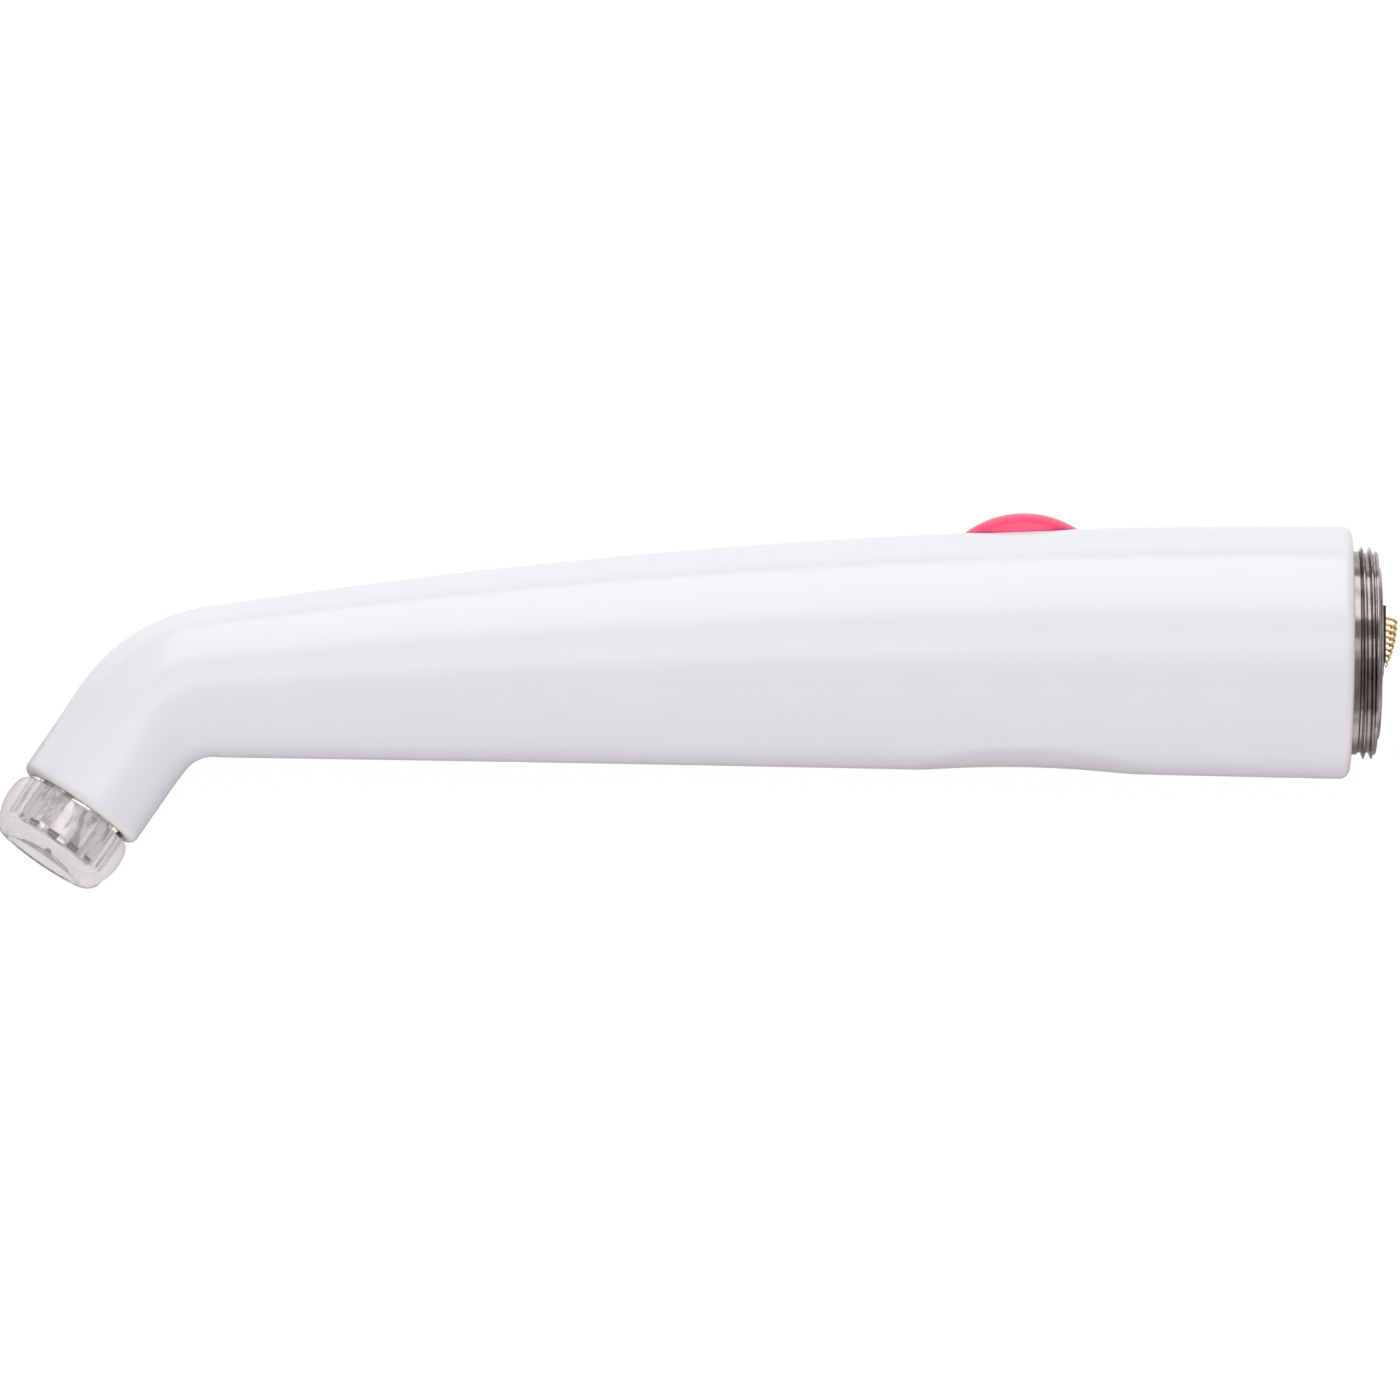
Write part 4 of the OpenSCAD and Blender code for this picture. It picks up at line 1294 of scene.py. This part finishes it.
@dataclass(frozen=True)
class ContactSet:
    """The contact carrier, its black block and the two combs of sprung fingers."""

    carrier_r: float = 7.45
    depth: float = 9
    carrier_end: float = 2.93
    pad_end: float = 3.2
    pad_w: float = 8
    pad_size: float = 7.0
    pad_rise: float = 0.67
    block_size: float = 5.7
    block_start: float = -5
    block_end: float = 3.4
    gap: float = 0.05
    fingers: int = 7
    pitch: float = 0.63
    reach: float = 1.245
    reach_min: float = 0.44
    finger_t: float = 0.2
    finger_w: float = 0.9
    comb_rise: float = 0.8
    spread: float = 1.6
    drop: float = 0.52
    sweep: float = 150

    @property
    def block_low(self) -> float:
        """Height of the block's underside."""
        return self.pad_rise + self.pad_size / 2 - self.block_size

    @property
    def comb_top(self) -> float:
        """Height of the uppermost finger's back."""
        return self.block_low + self.block_size - self.comb_rise

    @property
    def comb_size(self) -> float:
        """Height of a comb."""
        return (self.fingers - 1) * self.pitch + self.finger_t

    def carrier(self) -> tuple[Workpiece, Workpiece]:
        """The round carrier and the pad that stands out of it."""
        outline = rounded(
            [
                (-self.depth, 0, 0),
                (-self.depth, self.carrier_r, 0.2),
                (self.carrier_end, self.carrier_r, 0.12),
                (self.carrier_end, 0, 0),
            ]
        )
        disc = Workpiece.turned("contact_disc", outline, 96, closed=False)
        disc.move(ALONG_X)
        low = (-4, self.pad_rise - self.pad_size / 2, -self.pad_w / 2)
        high = (self.pad_end, self.pad_rise + self.pad_size / 2, self.pad_w / 2)
        pad = Workpiece.block("contact_pad", low, high)
        well_low = (self.block_start, self.block_low, -self.pad_w / 2 + self.gap)
        well_high = (self.pad_end + 1, high[1] + 0.01, self.pad_w / 2 - self.gap)
        disc.cut(Workpiece.block("disc_well", well_low, well_high))
        side = Vector((0, 0, 1))
        pad.cut(Workpiece.block("pad_well", Vector(well_low) - side, Vector(well_high) + side))
        pad.soften(0.04, 40, 2)
        return disc, pad

    def block(self) -> Workpiece:
        """The black block with a slot for each comb."""
        edge = self.pad_w / 2 - 2 * self.gap
        low = (self.block_start + self.gap, self.block_low + self.gap, -edge)
        high = (self.block_end, self.block_low + self.block_size, edge)
        piece = Workpiece.block("black_block", low, high)
        piece.soften(0.08, 40, 3)
        for side in (-1, 1):
            half = self.finger_w / 2 + self.gap
            middle = side * self.spread
            slot_end = self.comb_top - self.comb_size - self.gap
            slot_low = (self.block_start + 2, slot_end, middle - half)
            slot_high = (self.block_end + 1, self.comb_top + self.gap, middle + half)
            piece.cut(Workpiece.block("comb_slot", slot_low, slot_high))
        return piece

    def finger(self) -> Workpiece:
        """One finger of unit reach: a strip that leaves the block and hooks down."""
        steps = 10
        turns = [math.radians(self.sweep) * k / steps for k in range(steps + 1)]

        def edge(offset: float) -> list[Point]:
            """One side of the strip, as height and distance out of the block."""
            long = self.reach - self.finger_t / 2 + offset
            tall = self.drop + offset
            return [(tall * math.cos(a) - self.drop, long * math.sin(a)) for a in turns]

        half = self.finger_t / 2
        strip = [(half, -3 * self.finger_t), *edge(half), *reversed(edge(-half))]
        strip.append((-half, -3 * self.finger_t))
        piece = Workpiece.chain("finger", strip)
        with piece.editing():
            bpy.ops.mesh.edge_face_add()
            piece.extrude(y=self.finger_w)
        piece.close()
        piece.soften(0.035, 50, 2)
        return piece

    def build(
        self, grey: bpy.types.Material, black: bpy.types.Material, gold: bpy.types.Material
    ) -> None:
        """Models and dresses the carrier, the block and the combs."""
        disc, pad = self.carrier()
        disc.finish("grey_plastic", grey, ["contact_carrier"])
        pad.finish("grey_plastic", grey)
        self.block().finish("black_plastic", black, ["contact_block"])
        model = self.finger()
        flip = Matrix(((1, 0, 0, 0), (0, 0, 1, 0), (0, -1, 0, 0), (0, 0, 0, 1)))
        for comb, side in enumerate((-1, 1), start=1):
            root = Workpiece.block(
                f"comb_root_{comb}",
                (self.block_start + 3, self.comb_top - self.comb_size, -self.finger_w / 2),
                (self.block_end - 2 * self.finger_t, self.comb_top, self.finger_w / 2),
            )
            root.soften(0.04, 40, 2)
            shift = Matrix.Translation((0, 0, side * self.spread))
            root.finish("gold", gold, [f"contact_{comb}"], shift)
            for i in range(self.fingers):
                reach = self.reach + (self.reach_min - self.reach) * (i / (self.fingers - 1)) ** 2
                twin = model.copy(f"finger_{comb}_{i + 1}")
                place = Matrix.Translation(
                    (
                        self.block_end,
                        self.comb_top - self.finger_t / 2 - i * self.pitch,
                        side * self.spread + self.finger_w / 2,
                    )
                )
                share = reach / self.reach
                scale = Matrix.Diagonal((share, math.sqrt(share), 1, 1))
                twin.finish("gold", gold, place=place @ scale @ flip)
        model.drop()


# ---- Looks of the pieces ----

HEAD_AXIS = tuple(LINE.forward(LINE.head_turn))


def dress_inside() -> None:
    """Gives the CAD nodes inside the housing their materials."""
    looks = (
        (BoardLacquer("board_lacquer"), "circuit_board"),
        (
            FiredBody("chip_epoxy", (0.022, 0.022, 0.024), (0.05, 0.05, 0.05), 0.45),
            "driver_chip control_chip",
        ),
        (FiredBody("ferrite", (0.05, 0.05, 0.055), (0.11, 0.1, 0.1), 0.55, 0.2), "inductor"),
        (
            FiredBody("ceramic", (0.45, 0.32, 0.2), (0.6, 0.48, 0.35), 0.4),
            "capacitor_1 capacitor_2 capacitor_3",
        ),
        (
            MouldedPlastic("pale_nylon", (0.72, 0.7, 0.62), 0.45, 0.015),
            "switch_plunger lamp_socket board_carrier",
        ),
        (
            FiredBody("lamp_ceramic", (0.82, 0.8, 0.74), (0.72, 0.7, 0.64), 0.4, 0.3),
            "lamp_board lamp_package",
        ),
        (Rubber("seal_rubber", (0.02, 0.02, 0.02)), "ring_seal barrel_seal"),
        (
            TurnedMetal("copper", (0.78, 0.36, 0.22), (0.4, 0.17, 0.1), 0.28, axis=HEAD_AXIS),
            "heat_slug heat_pipe",
        ),
        (
            TurnedMetal("aluminium", (0.78, 0.79, 0.8), (0.6, 0.6, 0.61), 0.32, 0.3),
            "heat_spreader",
        ),
        (
            PlatedMetal("reflector_silver", (0.92, 0.92, 0.93), (0.8, 0.8, 0.8), 0.08),
            "reflector",
        ),
        (
            PlatedMetal("screw_steel", (0.6, 0.6, 0.62), (0.4, 0.39, 0.38), 0.3),
            "board_screws carrier_screws",
        ),
        (
            MouldedPlastic("switch_case", (0.03, 0.03, 0.035), 0.4, 0.01),
            "resistor_1 resistor_2 resistor_3 resistor_4 buzzer tact_switch",
        ),
        (ClearPolymer("lamp_resin", (0.96, 0.95, 0.9), 0.05, 1.5), "lamp_dome"),
        (
            MouldedPlastic("red_jacket", (0.6, 0.02, 0.02), 0.42, 0.01),
            "lamp_wire_1 supply_wire_1",
        ),
        (
            MouldedPlastic("black_jacket", (0.015, 0.015, 0.015), 0.42, 0.01),
            "lamp_wire_2 supply_wire_2",
        ),
    )
    for finish, names in looks:
        look = finish.make()
        for name in names.split():
            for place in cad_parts[name].material_slots:
                place.material = look
            log.info("%s: dressed in %s", name, look.name)


# ---- Studio ----


@dataclass(frozen=True)
class SoftLamp:
    """Softbox that faces the part and lights either its matt looks or its reflections.

    The angle is measured off the vertical, and turn swings the lamp round the vertical.
    """

    name: str
    angle: float
    level: float
    width: float
    height: float
    glossy: bool = False
    turn: float = 0
    distance: float = 0.85

    def build(self, target: Vector) -> None:
        """Adds the softbox."""
        angle, turn = math.radians(self.angle), math.radians(self.turn)
        lean = math.sin(angle)
        aim = Vector((-lean * math.sin(turn), lean * math.cos(turn), math.cos(angle)))
        data = bpy.data.lights.new(self.name, "AREA")
        data.shape = "RECTANGLE"
        data.size, data.size_y = self.width, self.height
        data.energy = self.level * math.pi * self.width * self.height
        lamp = bpy.data.objects.new(self.name, data)
        lamp.location = target + self.distance * aim
        lamp.rotation_euler = aim.to_track_quat("Z", "Y").to_euler()
        lamp.visible_camera = False
        lamp.visible_diffuse = not self.glossy
        lamp.visible_glossy = lamp.visible_transmission = self.glossy
        bpy.context.collection.objects.link(lamp)


@dataclass(frozen=True)
class Studio:
    """Camera, floor, softboxes and world."""

    distance: float = 1.6
    lens: float = 410.6
    tilt: float = 10
    roll: float = 0.6
    target: Point = (-66.647, -5.496)
    floor_normal: Colour = (0.0276, 0.1427, 0.9894)
    floor_depth: float = 13.12
    ambient: Colour = (0.388, 0.38, 0.408)
    reflected: Colour = (0.35, 0.34, 0.34)
    card: Colour = (0.365, 0.32, 0.325)
    card_fleck: Colour = (0.385, 0.34, 0.345)
    glow: float = 1.11
    glow_share: float = 0.88
    mirror_share: float = 0.9
    contact_shade: float = 0.75
    lamps: tuple[SoftLamp, ...] = (
        SoftLamp("shine", 58, 1.42, 0.9, 0.95, glossy=True),
        SoftLamp("strip", -4, 0.9, 0.9, 0.3, glossy=True),
        SoftLamp("key", 65, 3.65, 0.45, 0.8),
        SoftLamp("end", 78, 1.05, 0.45, 0.8, turn=-90),
        SoftLamp("side", 65, 1.3, 0.45, 0.8, turn=60),
        SoftLamp("top", 20, 1.25, 0.5, 0.5),
        SoftLamp("fill", -64, 3.4, 0.6, 0.6),
    )

    def camera(self) -> None:
        """Adds the camera, which looks down from 80 degrees with a slight roll."""
        tilt, roll = math.radians(self.tilt), math.radians(self.roll)
        across = Vector((1, 0, 0))
        up = Vector((0, math.cos(tilt), math.sin(tilt)))
        back = across.cross(up)
        right = math.cos(roll) * across + math.sin(roll) * up
        top = math.cos(roll) * up - math.sin(roll) * across
        target = Vector((*self.target, 0)) * MM
        data = bpy.data.cameras.new("camera")
        data.lens = self.lens
        data.sensor_width = 36
        data.clip_start, data.clip_end = 0.1, 20
        camera = bpy.data.objects.new("camera", data)
        turn = Matrix((right, top, back)).transposed().to_4x4()
        camera.matrix_world = Matrix.Translation(target + self.distance * back) @ turn
        bpy.context.collection.objects.link(camera)
        bpy.context.scene.camera = camera

    def seen(self, recipe: Recipe) -> Link:
        """1 for camera, transmission and glossy rays, less for these under the part, else 0."""
        path = recipe.node("LightPath", {}, output="Is Camera Ray")
        outputs = path.socket.node.outputs
        # Painted shadow: close under the part, glossy rays see less of the white floor and more of
        # the dark card.
        contact = recipe.y.above(-30 * MM, 10 * MM) * recipe.y.below(-5 * MM, 5 * MM)
        share = self.mirror_share - contact * self.contact_shade
        glossy = Link(recipe, outputs["Is Glossy Ray"]) * share
        through = Link(recipe, outputs["Is Transmission Ray"])
        return recipe.node("Math", {0: path + glossy + through, 1: 1.0}, operation="MINIMUM")

    def floor(self) -> None:
        """Adds the pale floor that the part lies on."""
        normal = Vector(self.floor_normal).normalized()
        Workpiece.clear()
        bpy.ops.mesh.primitive_plane_add(size=6)
        floor = bpy.context.object
        floor.name = "floor"
        floor.matrix_world = Matrix.Translation(-self.floor_depth * MM * normal) @ (
            Vector((0, 0, 1)).rotation_difference(normal).to_matrix().to_4x4()
        )
        recipe = Recipe("pale_floor")
        tone = recipe.blend(recipe.noise(8, 2), self.card, self.card_fleck)
        card = recipe.node("BsdfPrincipled", {"Base Color": tone, "Roughness": 0.8})
        white = recipe.node("Emission", {"Color": WHITE, "Strength": self.glow})
        seen = self.seen(recipe) * self.glow_share
        mixed = recipe.node("MixShader", {0: seen, 1: card, 2: white})
        recipe.node("OutputMaterial", {"Surface": mixed})
        floor.data.materials.append(recipe.material)

    def lights(self) -> None:
        """Adds the softboxes and the even world."""
        for lamp in self.lamps:
            lamp.build(Vector((*self.target, 0)) * MM)
        world = bpy.data.worlds.new("studio")
        world.use_nodes = True
        bpy.context.scene.world = world
        tree = world.node_tree
        tree.nodes.clear()
        path = tree.nodes.new("ShaderNodeLightPath")
        last = self.level(tree, self.ambient)
        for ray, colour in (
            ("Is Glossy Ray", self.reflected),
            ("Is Transmission Ray", WHITE),
            ("Is Camera Ray", WHITE),
        ):
            mix = tree.nodes.new("ShaderNodeMixShader")
            tree.links.new(path.outputs[ray], mix.inputs[0])
            tree.links.new(last, mix.inputs[1])
            tree.links.new(self.level(tree, colour), mix.inputs[2])
            last = mix.outputs[0]
        out = tree.nodes.new("ShaderNodeOutputWorld")
        tree.links.new(last, out.inputs["Surface"])

    @staticmethod
    def level(tree: bpy.types.NodeTree, colour: Colour) -> bpy.types.NodeSocket:
        """Adds an even background of a colour."""
        node = tree.nodes.new("ShaderNodeBackground")
        node.inputs["Color"].default_value = (*colour, 1)
        return node.outputs[0]

    def build(self) -> None:
        """Sets up the studio."""
        self.camera()
        self.floor()
        self.lights()
        bpy.context.scene.view_settings.view_transform = "Standard"


def main() -> None:
    """Sets up the studio, then builds the part from its housing inwards."""
    logging.basicConfig(level=logging.INFO, format="%(message)s")
    white = MouldedPlastic(
        "housing_white", (0.8, 0.798, 0.825), 0.16, 0.004, 0.0012, 0.985, (0.82, 0.71, 0.55)
    )
    nickel = TurnedMetal("nickel", (0.45, 0.41, 0.4), (0.19, 0.145, 0.14), 0.14, 0.2, 0.002)
    chrome = TurnedMetal(
        "chrome",
        (0.97, 0.96, 0.97),
        (0.33, 0.31, 0.33),
        0.12,
        axis=HEAD_AXIS,
        patch=1.0,
        streak=0.4,
        fade=0.1,
    )
    grey = MouldedPlastic("grey_resin", (0.2, 0.2, 0.21), 0.4, 0.01)
    dark = MouldedPlastic("dark_resin", (0.03, 0.03, 0.035), 0.35, 0.01)
    black = MouldedPlastic("black_resin", (0.018, 0.017, 0.017), 0.38, 0.01)
    gold = PlatedMetal("gold_plate", (0.95, 0.66, 0.25), (0.8, 0.5, 0.18), 0.2)
    housing = Housing()
    Studio().build()
    housing.build(white.make())
    button = PressButton()
    slope = housing.fall(button.x) + math.tan(math.radians(LINE.turn(button.x)))
    foot = (housing.skin(button.x), button.x, slope)
    # Its third colour is the painted shade round the button's foot.
    pink = CastSilicone(
        "button_pink", (0.93, 0.045, 0.14), (0.9, 0.06, 0.17), (0.42, 0.012, 0.2), foot
    )
    button.build(housing, pink.make())
    resin = ClearPolymer("clear_cap_resin", (0.83, 0.8, 0.795), 0.04, 1.18, 0.02, 0.86, 0.5)
    LensCap().build(resin.make())
    glass = ClearPolymer("lens_glass", (0.95, 0.97, 0.97), 0.02, 1.52, 0.001)
    LightBarrel().build(chrome.make(), dark.make(), glass.make())
    CouplingRing().build(nickel.make())
    ContactSet().build(grey.make(), black.make(), gold.make())
    dress_inside()


if __name__ == "__main__":
    main()
